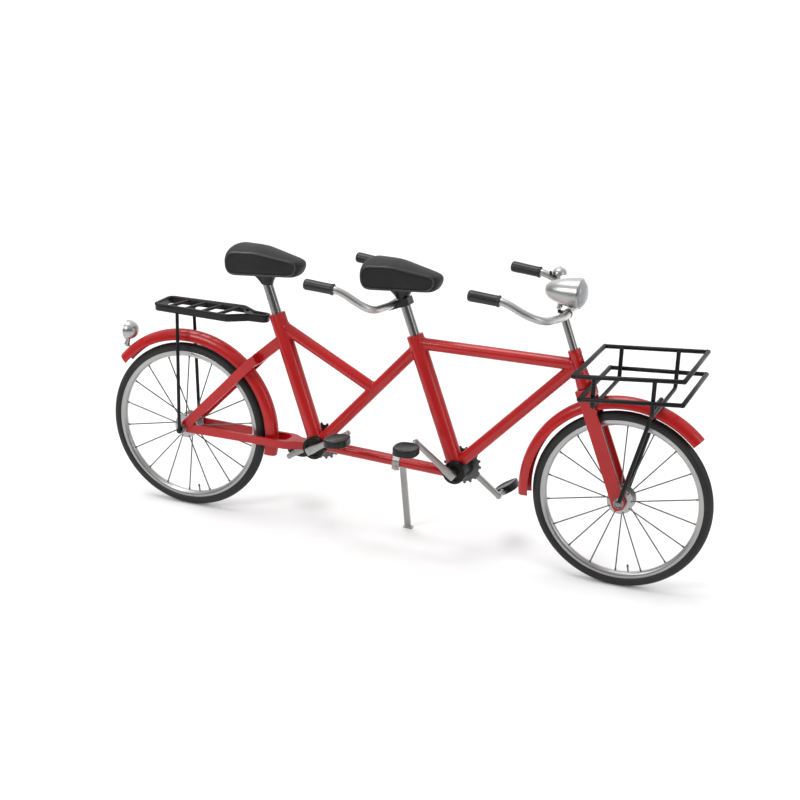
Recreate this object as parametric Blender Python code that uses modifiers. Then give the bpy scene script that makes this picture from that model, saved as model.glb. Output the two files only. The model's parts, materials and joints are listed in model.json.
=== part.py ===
"""Tandem bicycle for two riders, leaning on its kickstand.

Built upright in bike coordinates (+X forward, +Y left, +Z up, ground at z = 0) under one
empty that leans the whole machine to its left until the kickstand foot meets the ground.
Run with: blender --background --python part.py
"""
import math

import bmesh
import bpy
from mathutils import Matrix, Vector

# ---------------------------------------------------------------- driving dimensions, metres
GAP = 0.0003                 # clearance between touching pieces
LEAN = math.radians(6.7)     # lean to the left on the kickstand
FOOTPRINT_MIDDLE_Y = 0.1108  # from the wheels' line to the middle of the bike's width

WHEEL_R = 0.345
TYRE_SECTION_R = 0.020
RIM_OUTER_R = 0.3245
RIM_INNER_R = 0.292
RIM_HALF_WIDTH = 0.015
WHEELBASE = 1.820
FRONT_X = WHEELBASE / 2
REAR_X = -WHEELBASE / 2
SPOKES = 18
SPOKE_R = 0.0025
HUB_FLANGE_R = 0.051
FRONT_FLANGE_Y = 0.026
REAR_FLANGE_Y = 0.034
AXLE_R = 0.006
NUT_R = 0.0185

CAPTAIN_BB = Vector((0.259, 0.0, 0.350))
STOKER_BB = Vector((-0.332, 0.0, 0.350))
BB_R = 0.0455
BB_HALF_WIDTH = 0.052
BB_CUT_R = BB_R / math.cos(math.pi / 16)   # clears the drum whichever way its facets lie
SEAT_TUBE_R = 0.0330
MAIN_TUBE_R = 0.0235
BOOM_R = 0.0220
POST_R = 0.0205
POST_DEPTH = 0.200
CAPTAIN_SEAT_TOP = Vector((0.0565, 0.0, 0.862))
STOKER_SEAT_TOP = Vector((-0.5245, 0.0, 0.868))
POST_TRAVEL_ROOM = 0.070

STEER_BOTTOM = Vector((0.7520, 0.0, 0.7200))
STEER_TOP = Vector((0.6830, 0.0, 0.8955))
HEAD_TOP_R = 0.0235
HEAD_BOTTOM_R = 0.0310
STEERER_R = 0.0160
CROWN_HEIGHT = 0.040

BAR_R = 0.0145
BAR_LEAD_IN = 0.025  # straight length of bar ahead of each grip
BAR_BEND_R = 0.060
GRIP_R = 0.0220
BAR_SIDES_RES = 2

CRANK_LENGTH = 0.186
CRANK_ARM_Y = 0.070
CRANK_ARM_THICK = 0.016
CRANK_ARM_WIDTH = 0.024
CAPTAIN_CRANK_ANGLE = math.radians(143.3)
STOKER_CRANK_ANGLE = math.radians(32.0)
RING_TEETH = 18
RING_ROOT_R = 0.068
RING_TIP_R = 0.077
RING_THICK = 0.006
PEDAL_HALF_LENGTH = 0.0510
PEDAL_HALF_WIDTH = 0.0580
PEDAL_THICK = 0.0300
PEDAL_Y = 0.1820

GUARD_EDGE_R = 0.3610
GUARD_CROWN = 0.0415
GUARD_HALF_WIDTH = 0.0305
GUARD_SHEET = 0.003

ROD_R = 0.0082
TUBE_SIDES = 16
TURN_STEPS = 36


# ---------------------------------------------------------------- scene and collections
for old in list(bpy.data.objects):
    bpy.data.objects.remove(old, do_unlink=True)

parts = bpy.data.collections.new("tandem_bicycle")
cutters = bpy.data.collections.new("cutters")
bpy.context.scene.collection.children.link(parts)
bpy.context.scene.collection.children.link(cutters)


def make_material(name, colour, roughness, metallic):
    material = bpy.data.materials.new(name)
    material.use_nodes = True
    shader = material.node_tree.nodes["Principled BSDF"]
    shader.inputs["Base Color"].default_value = (*colour, 1.0)
    shader.inputs["Roughness"].default_value = roughness
    shader.inputs["Metallic"].default_value = metallic
    material.diffuse_color = (*colour, 1.0)
    return material


red_paint = make_material("red_paint", (0.42, 0.010, 0.012), 0.25, 0.0)
black_paint = make_material("black_paint", (0.020, 0.020, 0.020), 0.35, 0.0)
black_plastic = make_material("black_plastic", (0.025, 0.025, 0.025), 0.45, 0.0)
saddle_vinyl = make_material("saddle_vinyl", (0.035, 0.035, 0.034), 0.60, 0.0)
rubber = make_material("tyre_rubber", (0.030, 0.030, 0.030), 0.70, 0.0)
grip_rubber = make_material("grip_rubber", (0.020, 0.020, 0.020), 0.50, 0.0)
chrome = make_material("chrome", (0.75, 0.75, 0.75), 0.15, 1.0)
satin_steel = make_material("satin_steel", (0.55, 0.54, 0.53), 0.35, 1.0)
dark_steel = make_material("dark_steel", (0.12, 0.12, 0.12), 0.40, 1.0)
clear_lens = make_material("clear_lens", (0.80, 0.80, 0.80), 0.05, 0.0)
red_lens = make_material("red_lens", (0.55, 0.010, 0.010), 0.10, 0.0)


# ---------------------------------------------------------------- placing
def add_group(name, origin, parent=None):
    """An empty at a joint's axis, in bike coordinates, that pieces hang from."""
    empty = bpy.data.objects.new(name, None)
    parts.objects.link(empty)
    empty["origin"] = tuple(origin)
    if parent is None:
        empty.location = origin
    else:
        empty.parent = parent
        empty.location = Vector(origin) - Vector(parent["origin"])
    return empty


def place(obj, name, group, material=None, smooth=True, collection=parts):
    """Hang an object built in bike coordinates from its group's empty."""
    for home in list(obj.users_collection):
        home.objects.unlink(obj)
    collection.objects.link(obj)
    obj.name = name
    obj.data.name = name
    obj.parent = group
    obj.location = obj.location - Vector(group["origin"])
    if material is not None:
        obj.data.materials.clear()
        obj.data.materials.append(material)
    if smooth and obj.type == "MESH":
        for face in obj.data.polygons:
            face.use_smooth = len(face.vertices) <= 4
    return obj


def place_cutter(obj, name, group):
    place(obj, name, group, smooth=False, collection=cutters)
    obj.hide_render = True
    obj.display_type = "WIRE"
    return obj


def new_object(name, data, location=(0.0, 0.0, 0.0)):
    obj = bpy.data.objects.new(name, data)
    bpy.context.scene.collection.objects.link(obj)
    obj.location = location
    return obj


# ---------------------------------------------------------------- shapes
def cylinder_between(start, end, radius, sides=TUBE_SIDES, end_radius=None):
    start, end = Vector(start), Vector(end)
    axis = end - start
    if end_radius is None:
        bpy.ops.mesh.primitive_cylinder_add(vertices=sides, radius=radius, depth=axis.length)
    else:
        bpy.ops.mesh.primitive_cone_add(
            vertices=sides, radius1=radius, radius2=end_radius, depth=axis.length
        )
    obj = bpy.context.object
    obj.location = (start + end) / 2
    obj.rotation_mode = "QUATERNION"
    obj.rotation_quaternion = axis.to_track_quat("Z", "Y")
    return obj


def box_at(centre, size, pitch=0.0):
    """A box of the given size, pitched about the bike's Y axis."""
    bpy.ops.mesh.primitive_cube_add(size=1.0)
    obj = bpy.context.object
    obj.data.transform(Matrix.Diagonal((*size, 1.0)))
    obj.location = centre
    obj.rotation_euler = (0.0, pitch, 0.0)
    return obj


def soften(obj, width, segments=2, angle=40.0):
    bevel = obj.modifiers.new("bevel", "BEVEL")
    bevel.width = width
    bevel.segments = segments
    bevel.limit_method = "ANGLE"
    bevel.angle_limit = math.radians(angle)
    return obj


def boolean(obj, other, operation="DIFFERENCE"):
    modifier = obj.modifiers.new(operation.lower() + "_" + other.name, "BOOLEAN")
    modifier.object = other
    modifier.operation = operation
    modifier.solver = "EXACT"
    return modifier


def cope(obj, group, start, end, radius, end_radius=None):
    """Mitre a tube against a neighbour, leaving the standard gap."""
    far = None if end_radius is None else end_radius + GAP
    cutter = cylinder_between(start, end, radius + GAP, end_radius=far)
    place_cutter(cutter, "cut_" + obj.name, group)
    boolean(obj, cutter)


def smooth_points(corners, radius, steps=4, cyclic=False):
    """Round each corner of a route with an arc, as a bender would."""
    corners = [Vector(corner) for corner in corners]
    count = len(corners)
    points = []
    for index, corner in enumerate(corners):
        is_end = index in (0, count - 1) and not cyclic
        if is_end:
            points.append(corner)
            continue
        before = corners[(index - 1) % count]
        after = corners[(index + 1) % count]
        inward = (before - corner).normalized()
        outward = (after - corner).normalized()
        half = inward.angle(outward) / 2
        reach = min(
            radius / math.tan(half),
            (before - corner).length * 0.49,
            (after - corner).length * 0.49,
        )
        first = corner + inward * reach
        last = corner + outward * reach
        for step in range(steps + 1):
            t = step / steps
            points.append(first * (1 - t) ** 2 + corner * 2 * t * (1 - t) + last * t**2)
    return points


def wire(points, radius, cyclic=False, resolution=BAR_SIDES_RES):
    """A bent round rod through the points, as a mesh with welded caps."""
    data = bpy.data.curves.new("wire", "CURVE")
    data.dimensions = "3D"
    spline = data.splines.new("POLY")
    spline.points.add(len(points) - 1)
    for control, point in zip(spline.points, points):
        control.co = (*point, 1.0)
    spline.use_cyclic_u = cyclic
    data.bevel_depth = radius
    data.bevel_resolution = resolution
    data.use_fill_caps = True
    return to_mesh(new_object("wire", data))


def to_mesh(curve_object):
    bpy.context.view_layer.update()
    depsgraph = bpy.context.evaluated_depsgraph_get()
    mesh = bpy.data.meshes.new_from_object(curve_object.evaluated_get(depsgraph))
    work = bmesh.new()
    work.from_mesh(mesh)
    bmesh.ops.remove_doubles(work, verts=work.verts, dist=0.00001)
    bmesh.ops.recalc_face_normals(work, faces=work.faces)
    work.to_mesh(mesh)
    work.free()
    obj = new_object("from_curve", mesh)
    obj.matrix_world = curve_object.matrix_world.copy()
    bpy.data.objects.remove(curve_object, do_unlink=True)
    return obj


def plate(outlines, thickness, centre, axes="XZ"):
    """Closed flat outlines extruded to a plate. axes names the plane they lie in."""
    data = bpy.data.curves.new("plate", "CURVE")
    data.dimensions = "2D"
    data.fill_mode = "BOTH"
    data.extrude = thickness / 2
    for outline in outlines:
        spline = data.splines.new("POLY")
        spline.points.add(len(outline) - 1)
        for control, (across, up) in zip(spline.points, outline):
            control.co = (across, up, 0.0, 1.0)
        spline.use_cyclic_u = True
    obj = new_object("plate", data, centre)
    if axes == "XZ":
        obj.rotation_euler = (math.pi / 2, 0.0, 0.0)
    return to_mesh(obj)


def runs_upwards(profile):
    """Whether a profile climbs its outer side, which would turn its faces inwards."""
    area = 0.0
    for first, second in zip(profile, profile[1:] + profile[:1]):
        area += first[0] * second[1] - second[0] * first[1]
    return area > 0


def turn(profile, centre, steps=TURN_STEPS, closed=False, turn_axis="Y", angle=2 * math.pi):
    """Spin a profile of (radius, along) points about the bike's Y or X axis."""
    if runs_upwards(profile):
        profile = list(reversed(profile))
    mesh = bpy.data.meshes.new("turned")
    work = bmesh.new()
    verts = [work.verts.new((radius, 0.0, along)) for radius, along in profile]
    for first, second in zip(verts, verts[1:]):
        work.edges.new((first, second))
    if closed:
        work.edges.new((verts[-1], verts[0]))
    work.to_mesh(mesh)
    work.free()
    obj = new_object("turned", mesh, centre)
    screw = obj.modifiers.new("screw", "SCREW")
    screw.angle = angle
    screw.steps = steps
    screw.render_steps = steps
    screw.use_merge_vertices = True
    screw.merge_threshold = 0.00005
    if turn_axis == "Y":
        obj.rotation_euler = (-math.pi / 2, 0.0, 0.0)
    elif turn_axis == "X":
        obj.rotation_euler = (0.0, math.pi / 2, 0.0)
    return obj


def along_line(start, end, distance):
    """The point at a distance from start towards end."""
    start, end = Vector(start), Vector(end)
    return start + (end - start).normalized() * distance


def polar(centre, radius, angle, y=0.0):
    return Vector((centre.x + radius * math.cos(angle), y, centre.z + radius * math.sin(angle)))


def arc_outline(centre, radius, start, end, steps):
    return [
        (
            centre[0] + radius * math.cos(start + (end - start) * step / steps),
            centre[1] + radius * math.sin(start + (end - start) * step / steps),
        )
        for step in range(steps + 1)
    ]


def capsule_outline(start, end, start_radius, end_radius, steps=6):
    """A flat bar outline with round ends about two points."""
    direction = math.atan2(end[1] - start[1], end[0] - start[0])
    quarter = math.pi / 2
    return arc_outline(
        start, start_radius, direction + quarter, direction + 3 * quarter, steps
    ) + arc_outline(end, end_radius, direction - quarter, direction + quarter, steps)


# ---------------------------------------------------------------- groups
lean_shift = TYRE_SECTION_R * (1 - math.cos(LEAN))
frame = add_group("lean", (0.0, 0.0, 0.0))
frame.rotation_euler = (-LEAN, 0.0, 0.0)
frame.location = (0.0, -FOOTPRINT_MIDDLE_Y, lean_shift)
front_axle_at = Vector((FRONT_X, 0.0, WHEEL_R))
rear_axle_at = Vector((REAR_X, 0.0, WHEEL_R))
steering = add_group("steering_axis", STEER_BOTTOM, frame)
front_wheel = add_group("front_wheel_axis", front_axle_at, steering)
rear_wheel = add_group("rear_wheel_axis", rear_axle_at, frame)


# ---------------------------------------------------------------- frame tubes
def seat_tube(name, bb, top):
    """A seat tube with an open bore for its post, mitred onto the bottom bracket."""
    tube = cylinder_between(bb, top, SEAT_TUBE_R)
    place(tube, name, frame, red_paint)
    bore_end = along_line(top, bb, POST_DEPTH + POST_TRAVEL_ROOM)
    bore = cylinder_between(bore_end, along_line(top, bb, -0.01), POST_R + GAP)
    boolean(tube, place_cutter(bore, "bore_" + name, frame))
    cope(tube, frame, bb - Vector((0, 0.1, 0)), bb + Vector((0, 0.1, 0)), BB_CUT_R)
    return tube


def bb_shell(name, bb):
    """The drum that a crank spindle runs through."""
    profile = [
        (0.0115, -BB_HALF_WIDTH),
        (BB_R - 0.004, -BB_HALF_WIDTH),
        (BB_R, -BB_HALF_WIDTH + 0.004),
        (BB_R, BB_HALF_WIDTH - 0.004),
        (BB_R - 0.004, BB_HALF_WIDTH),
        (0.0115, BB_HALF_WIDTH),
    ]
    return place(turn(profile, bb, 16, closed=True), name, frame, black_paint)


seat_tube("captain_seat_tube", CAPTAIN_BB, CAPTAIN_SEAT_TOP)
seat_tube("stoker_seat_tube", STOKER_BB, STOKER_SEAT_TOP)
bb_shell("captain_bb_shell", CAPTAIN_BB)
bb_shell("stoker_bb_shell", STOKER_BB)

bb_side = Vector((0.0, 0.1, 0.0))
captain_seat = (CAPTAIN_BB, CAPTAIN_SEAT_TOP)
stoker_seat = (STOKER_BB, STOKER_SEAT_TOP)
head_low = along_line(STEER_BOTTOM, STEER_TOP, CROWN_HEIGHT + GAP)

head_tube = cylinder_between(head_low, STEER_TOP, HEAD_BOTTOM_R, end_radius=HEAD_TOP_R)
place(head_tube, "head_tube", frame, red_paint)
head_bore = cylinder_between(
    along_line(head_low, STEER_TOP, -0.01), along_line(STEER_TOP, head_low, -0.01), STEERER_R + GAP
)
boolean(head_tube, place_cutter(head_bore, "bore_head_tube", frame))


def main_tube(name, start, end, radius, copes):
    tube = cylinder_between(start, end, radius)
    place(tube, name, frame, red_paint)
    for cope_start, cope_end, cope_radius, cope_end_radius in copes:
        cope(tube, frame, cope_start, cope_end, cope_radius, cope_end_radius)
    return tube


at_captain_seat = (*captain_seat, SEAT_TUBE_R, None)
at_stoker_seat = (*stoker_seat, SEAT_TUBE_R, None)
at_head = (head_low, STEER_TOP, HEAD_BOTTOM_R, HEAD_TOP_R)
at_captain_bb = (CAPTAIN_BB - bb_side, CAPTAIN_BB + bb_side, BB_CUT_R, None)
at_stoker_bb = (STOKER_BB - bb_side, STOKER_BB + bb_side, BB_CUT_R, None)

BOOM = ((-0.3320, 0.0, 0.3540), (0.2590, 0.0, 0.3330))
TOP_TUBE = ((0.0700, 0.0, 0.8320), (0.6950, 0.0, 0.8390))
down_start = Vector((0.2590, 0.0, 0.3735))
down_end = Vector((0.6920, 0.0, 0.8305))
diagonal_start = Vector((-0.3080, 0.0, 0.3810))
diagonal_end = Vector((0.0720, 0.0, 0.8140))
main_tube("top_tube", *TOP_TUBE, MAIN_TUBE_R, [at_captain_seat, at_head])
main_tube(
    "down_tube",
    down_start,
    down_end,
    MAIN_TUBE_R,
    [
        at_captain_seat,
        at_captain_bb,
        at_head,
        (*TOP_TUBE, MAIN_TUBE_R, None),
    ],
)
main_tube(
    "diagonal_tube",
    diagonal_start,
    diagonal_end,
    MAIN_TUBE_R,
    [at_captain_seat, at_stoker_seat, at_stoker_bb],
)
main_tube(
    "stoker_top_tube",
    (-0.5080, 0, 0.8255),
    (-0.1020, 0, 0.6207),
    MAIN_TUBE_R,
    [at_stoker_seat, (diagonal_start, diagonal_end, MAIN_TUBE_R, None)],
)
main_tube(
    "boom_tube",
    *BOOM,
    BOOM_R,
    [at_stoker_bb, at_captain_bb, (diagonal_start, diagonal_end, MAIN_TUBE_R, None)],
)


# ---------------------------------------------------------------- rear triangle
STAY_Y = 0.0530
STAY_THICK = 0.0120
YOKE_FRONT_X = STOKER_BB.x - BB_R - GAP
YOKE_Z = 0.3440
YOKE_REAR_X = -0.5850
YOKE_THICK = 0.0320
SEATSTAY_Y = STAY_Y + 0.0055
SEATSTAY_THICK = 0.0090


def chainstays():
    """One flat yoke plate with the mudguard's slot, and its two stays to the axle."""
    inner = STAY_Y - 0.0125
    outer = STAY_Y + 0.0010
    half = [
        (YOKE_FRONT_X + 0.010, 0.024),
        (-0.4150, 0.029),
        (-0.4420, 0.048),
        (-0.4600, outer),
        (YOKE_REAR_X, outer),
        (YOKE_REAR_X, inner),
        (-0.4800, inner),
        (-0.4600, 0.030),
        (-0.4550, 0.010),
    ]
    outline = half + [(x, -y) for x, y in reversed(half)]
    yoke = plate([outline], YOKE_THICK, (0.0, 0.0, YOKE_Z), axes="XY")
    place(yoke, "chainstays", frame, red_paint, smooth=False)
    cope(yoke, frame, STOKER_BB - bb_side, STOKER_BB + bb_side, BB_CUT_R)
    for side in (1, -1):
        bar = plate(
            [capsule_outline((YOKE_REAR_X + 0.004, YOKE_Z), (REAR_X, WHEEL_R), 0.0155, 0.0185)],
            STAY_THICK,
            (0.0, side * (STAY_Y - 0.0060), 0.0),
        )
        boolean(yoke, place_cutter(bar, "chainstay_bar", frame), "UNION")
    drill_dropouts(yoke)
    return yoke


def drill_dropouts(obj):
    hole = cylinder_between(
        rear_axle_at - bb_side, rear_axle_at + bb_side, AXLE_R + GAP, sides=12
    )
    boolean(obj, place_cutter(hole, "axle_hole", frame))


def seatstays():
    """A block behind the stoker's seat tube that splits into two flat stays."""
    top = Vector((-0.5000, 0.0, 0.7620))
    split = Vector((-0.6050, 0.0, 0.6680))
    pitch = math.atan2(top.z - split.z, top.x - split.x)
    length = (top - split).length
    block = box_at((top + split) / 2, (length, 0.044, 0.044), -pitch)
    place(block, "seatstays", frame, red_paint, smooth=False)
    cope(block, frame, STOKER_BB, STOKER_SEAT_TOP, SEAT_TUBE_R)
    bridge = box_at(split, (0.030, 2 * SEATSTAY_Y, 0.038), -pitch)
    boolean(block, place_cutter(bridge, "seatstay_bridge", frame), "UNION")
    for side in (1, -1):
        stay = plate(
            [capsule_outline((split.x, split.z), (REAR_X, WHEEL_R), 0.0200, 0.0190)],
            SEATSTAY_THICK,
            (0.0, side * SEATSTAY_Y, 0.0),
        )
        boolean(block, place_cutter(stay, "seatstay_bar", frame), "UNION")
    drill_dropouts(block)
    return block


chainstays()
seatstays()


# ---------------------------------------------------------------- mudguards
def mudguard(name, axle, start_deg, end_deg, group):
    """A crowned sheet turned part of the way round its wheel."""
    segments = 6
    profile = []
    for index in range(segments + 1):
        sweep = math.pi * index / segments
        rise = GUARD_CROWN * math.sin(sweep) ** 0.8
        profile.append((GUARD_EDGE_R + rise, -GUARD_HALF_WIDTH * math.cos(sweep)))
    guard = turn(profile, axle, steps=18, angle=math.radians(end_deg - start_deg))
    guard.modifiers["screw"].use_merge_vertices = False
    guard.rotation_euler = (-math.pi / 2, 0.0, 0.0)
    guard.rotation_mode = "XYZ"
    guard.data.transform(Matrix.Rotation(-math.radians(end_deg), 4, "Z"))
    sheet = guard.modifiers.new("sheet", "SOLIDIFY")
    sheet.thickness = GUARD_SHEET
    sheet.offset = 0.0
    return place(guard, name, group, red_paint)


mudguard("rear_mudguard", rear_axle_at, -10.0, 141.0, frame)
mudguard("front_mudguard", front_axle_at, 45.0, 186.5, steering)


# ---------------------------------------------------------------- wheels
def tyre(name, axle, group):
    centre_r = WHEEL_R - TYRE_SECTION_R
    profile = []
    for index in range(7):
        angle = math.radians(-140 + 280 * index / 6)
        profile.append(
            (
                centre_r + TYRE_SECTION_R * math.cos(angle),
                TYRE_SECTION_R * math.sin(angle),
            )
        )
    return place(turn(profile, axle, closed=True), name, group, rubber)


def wheel(name, axle, flange_y, sprocket_r, group):
    """Rim, spokes and spool hub joined into one piece."""
    rim_profile = [
        (RIM_INNER_R, -0.006),
        (RIM_INNER_R + 0.010, -RIM_HALF_WIDTH),
        (RIM_OUTER_R - 0.016, -RIM_HALF_WIDTH),
        (RIM_OUTER_R - 0.019, 0.0),
        (RIM_OUTER_R - 0.016, RIM_HALF_WIDTH),
        (RIM_INNER_R + 0.010, RIM_HALF_WIDTH),
        (RIM_INNER_R, 0.006),
    ]
    rim = place(turn(rim_profile, axle, closed=True), name, group, chrome)
    bore = AXLE_R + GAP
    left_r = sprocket_r if sprocket_r else 0.016
    left_y = flange_y + 0.008 if sprocket_r else flange_y + 0.002
    hub_profile = [
        (bore, -flange_y - 0.002),
        (HUB_FLANGE_R - 0.002, -flange_y - 0.002),
        (HUB_FLANGE_R, -flange_y + 0.001),
        (0.018, -flange_y + 0.004),
        (0.018, flange_y - 0.004),
        (HUB_FLANGE_R, flange_y - 0.001),
        (HUB_FLANGE_R - 0.002, flange_y + 0.002),
        (left_r, flange_y + 0.002),
        (left_r, left_y + 0.0005),
        (bore, left_y + 0.0005),
    ]
    hub = turn(hub_profile, axle, 18, closed=True)
    boolean(rim, place_cutter(hub, "hub_" + name, group), "UNION")
    spokes = spoke_set(axle, flange_y)
    boolean(rim, place_cutter(spokes, "spokes_" + name, group), "UNION")
    return rim


def spoke_set(axle, flange_y):
    """All the spokes of a wheel, laced in turn to the two flanges."""
    work = bmesh.new()
    for index in range(SPOKES):
        angle = 2 * math.pi * (index + 0.5) / SPOKES
        side = 1 if index % 2 else -1
        inner = polar(Vector(), HUB_FLANGE_R - 0.004, angle, side * flange_y)
        outer = polar(Vector(), RIM_INNER_R + 0.004, angle, side * 0.003)
        axis = outer - inner
        matrix = Matrix.Translation((inner + outer) / 2) @ axis.to_track_quat(
            "Z", "Y"
        ).to_matrix().to_4x4()
        bmesh.ops.create_cone(
            work,
            cap_ends=True,
            segments=5,
            radius1=SPOKE_R,
            radius2=SPOKE_R,
            depth=axis.length,
            matrix=matrix,
        )
    mesh = bpy.data.meshes.new("spokes")
    work.to_mesh(mesh)
    work.free()
    return new_object("spokes", mesh, axle)


def axle_with_nuts(name, axle, hub_y, clamp_y, group):
    """An axle whose nuts hold the blades, with cones up to the hub's faces."""
    profile = [
        (0.0, -clamp_y - 0.014),
        (NUT_R * 0.55, -clamp_y - 0.014),
        (NUT_R * 0.60, -clamp_y - 0.009),
        (NUT_R, -clamp_y - 0.009),
        (NUT_R, -clamp_y - GAP),
        (AXLE_R, -clamp_y - GAP),
        (AXLE_R, clamp_y + GAP),
        (NUT_R, clamp_y + GAP),
        (NUT_R, clamp_y + 0.009),
        (NUT_R * 0.60, clamp_y + 0.009),
        (NUT_R * 0.55, clamp_y + 0.014),
        (0.0, clamp_y + 0.014),
    ]
    return place(turn(profile, axle, 12), name, group, satin_steel)


FORK_OUTER_Y = 0.0450
REAR_CLAMP_Y = SEATSTAY_Y + SEATSTAY_THICK / 2
tyre("front_tyre", front_axle_at, front_wheel)
wheel("front_wheel", front_axle_at, FRONT_FLANGE_Y, 0.0, front_wheel)
axle_with_nuts("front_axle", front_axle_at, FRONT_FLANGE_Y, FORK_OUTER_Y, steering)
tyre("rear_tyre", rear_axle_at, rear_wheel)
wheel("rear_wheel", rear_axle_at, REAR_FLANGE_Y - 0.006, 0.034, rear_wheel)
axle_with_nuts("rear_axle", rear_axle_at, REAR_FLANGE_Y, REAR_CLAMP_Y, frame)


# ---------------------------------------------------------------- fork
def fork():
    """Crown, steerer and two flat blades as one piece."""
    steer_dir = (STEER_TOP - STEER_BOTTOM).normalized()
    pitch = math.atan2(steer_dir.x, steer_dir.z)
    crown_mid = STEER_BOTTOM + steer_dir * CROWN_HEIGHT / 2
    crown = box_at(crown_mid, (0.060, 2 * FORK_OUTER_Y, CROWN_HEIGHT), pitch)
    place(crown, "fork", steering, red_paint, smooth=False)
    steerer = cylinder_between(crown_mid, along_line(STEER_TOP, STEER_BOTTOM, 0.030), STEERER_R)
    boolean(crown, place_cutter(steerer, "steerer", steering), "UNION")
    for side in (1, -1):
        blade = plate(
            [
                [
                    (0.7220, 0.7260),
                    (0.7700, 0.7450),
                    (0.9360, 0.3420),
                    (0.9280, 0.3200),
                    (0.9000, 0.3080),
                    (0.8860, 0.3230),
                ]
            ],
            0.0110,
            (0.0, side * (FORK_OUTER_Y - 0.0055), 0.0),
        )
        boolean(crown, place_cutter(blade, "fork_blade", steering), "UNION")
    hole = cylinder_between(front_axle_at - bb_side, front_axle_at + bb_side, AXLE_R + GAP, 12)
    boolean(crown, place_cutter(hole, "fork_axle_hole", steering))
    return crown


fork()


# ---------------------------------------------------------------- handlebars
def handlebar(name, grip_front, grip_rear, group, route):
    """A swept-back bar in one piece, with a grip sleeve past each end."""
    mouth = Vector(grip_front)
    lead_in = mouth + (mouth - Vector(grip_rear)).normalized() * BAR_LEAD_IN
    left = [*(Vector(point) for point in reversed(route)), lead_in, mouth]
    right = [Vector((point.x, -point.y, point.z)) for point in reversed(left)]
    bar = wire(smooth_points([*right, *left], BAR_BEND_R, steps=3), BAR_R)
    place(bar, name + "_handlebar", group, chrome)
    for side, word in ((-1, "right"), (1, "left")):
        start = Vector((grip_front[0], side * grip_front[1], grip_front[2]))
        end = Vector((grip_rear[0], side * grip_rear[1], grip_rear[2]))
        start = along_line(start, end, GAP)
        grip = cylinder_between(start, end, GRIP_R)
        soften(grip, 0.006, 1, 60.0)
        place(grip, name + "_grip_" + word, group, grip_rubber)


steer_dir = (STEER_TOP - STEER_BOTTOM).normalized()
clamp_on_axis = STEER_TOP + steer_dir * 0.137
quill_top = clamp_on_axis + steer_dir * 0.006
captain_bar_at = clamp_on_axis + Vector((0.022, 0.0, 0.008))
handlebar(
    "captain",
    (0.4655, 0.2530, 1.1060),
    (0.3459, 0.2590, 1.1150),
    steering,
    [
        (0.5600, 0.2560, 1.0680),
        (0.6250, 0.2200, 1.0420),
        (captain_bar_at.x, 0.0700, captain_bar_at.z),
    ],
)


def captain_stem():
    """The quill above the head tube, with its bar clamp."""
    quill = cylinder_between(along_line(STEER_TOP, STEER_BOTTOM, 0.030 - GAP), quill_top, STEERER_R)
    place(quill, "captain_stem", steering, satin_steel)
    half = Vector((0.0, 0.022, 0.0))
    clamp = cylinder_between(captain_bar_at - half, captain_bar_at + half, 0.0190)
    boolean(quill, place_cutter(clamp, "stem_clamp", steering), "UNION")
    wide = Vector((0.0, 0.040, 0.0))
    bore = cylinder_between(captain_bar_at - wide, captain_bar_at + wide, BAR_R + 0.0012)
    boolean(quill, place_cutter(bore, "stem_bore", steering))


captain_stem()


# ---------------------------------------------------------------- headlamp and bell
LAMP_AT = Vector((0.6850, 0.0, 1.1080))
LAMP_R = 0.0595
LAMP_WALL = 0.0030
LAMP_PIVOT_R = 0.0080
LAMP_PIVOT_HALF = 0.0090
LAMP_EAR_THICK = 0.0040
lamp_pivot = Vector((0.6160, 0.0, 1.0495))
headlamp = add_group("headlamp_axis", lamp_pivot, steering)


def headlamp_housing():
    """A hollow bullet, open at its front, with two ears either side of its pivot."""
    outer = [
        (0.018, -0.125),
        (0.034, -0.108),
        (0.048, -0.070),
        (0.056, -0.025),
        (LAMP_R, 0.0),
        (LAMP_R, 0.005),
    ]
    inner = [(radius - LAMP_WALL, along + LAMP_WALL / 2) for radius, along in reversed(outer)]
    profile = [(0.0, -0.128), *outer, *inner, (0.0, -0.124)]
    shell = turn(profile, LAMP_AT, 20, turn_axis="X")
    place(shell, "headlamp_housing", headlamp, chrome)
    for side in (-1, 1):
        ear = plate(
            [
                capsule_outline(
                    (lamp_pivot.x, lamp_pivot.z),
                    (lamp_pivot.x, lamp_pivot.z + 0.0130),
                    LAMP_PIVOT_R,
                    LAMP_PIVOT_R,
                    4,
                )
            ],
            LAMP_EAR_THICK,
            (0.0, side * (LAMP_PIVOT_HALF + GAP + LAMP_EAR_THICK / 2), 0.0),
        )
        boolean(shell, place_cutter(ear, "lamp_ear", headlamp), "UNION")


def headlamp_lens():
    profile = [
        (0.0, 0.0070 + GAP),
        (0.0530, 0.0070 + GAP),
        (0.0500, 0.0130),
        (0.0300, 0.0240),
        (0.0, 0.0300),
    ]
    place(turn(profile, LAMP_AT, 20, turn_axis="X"), "headlamp_lens", headlamp, clear_lens)


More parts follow.
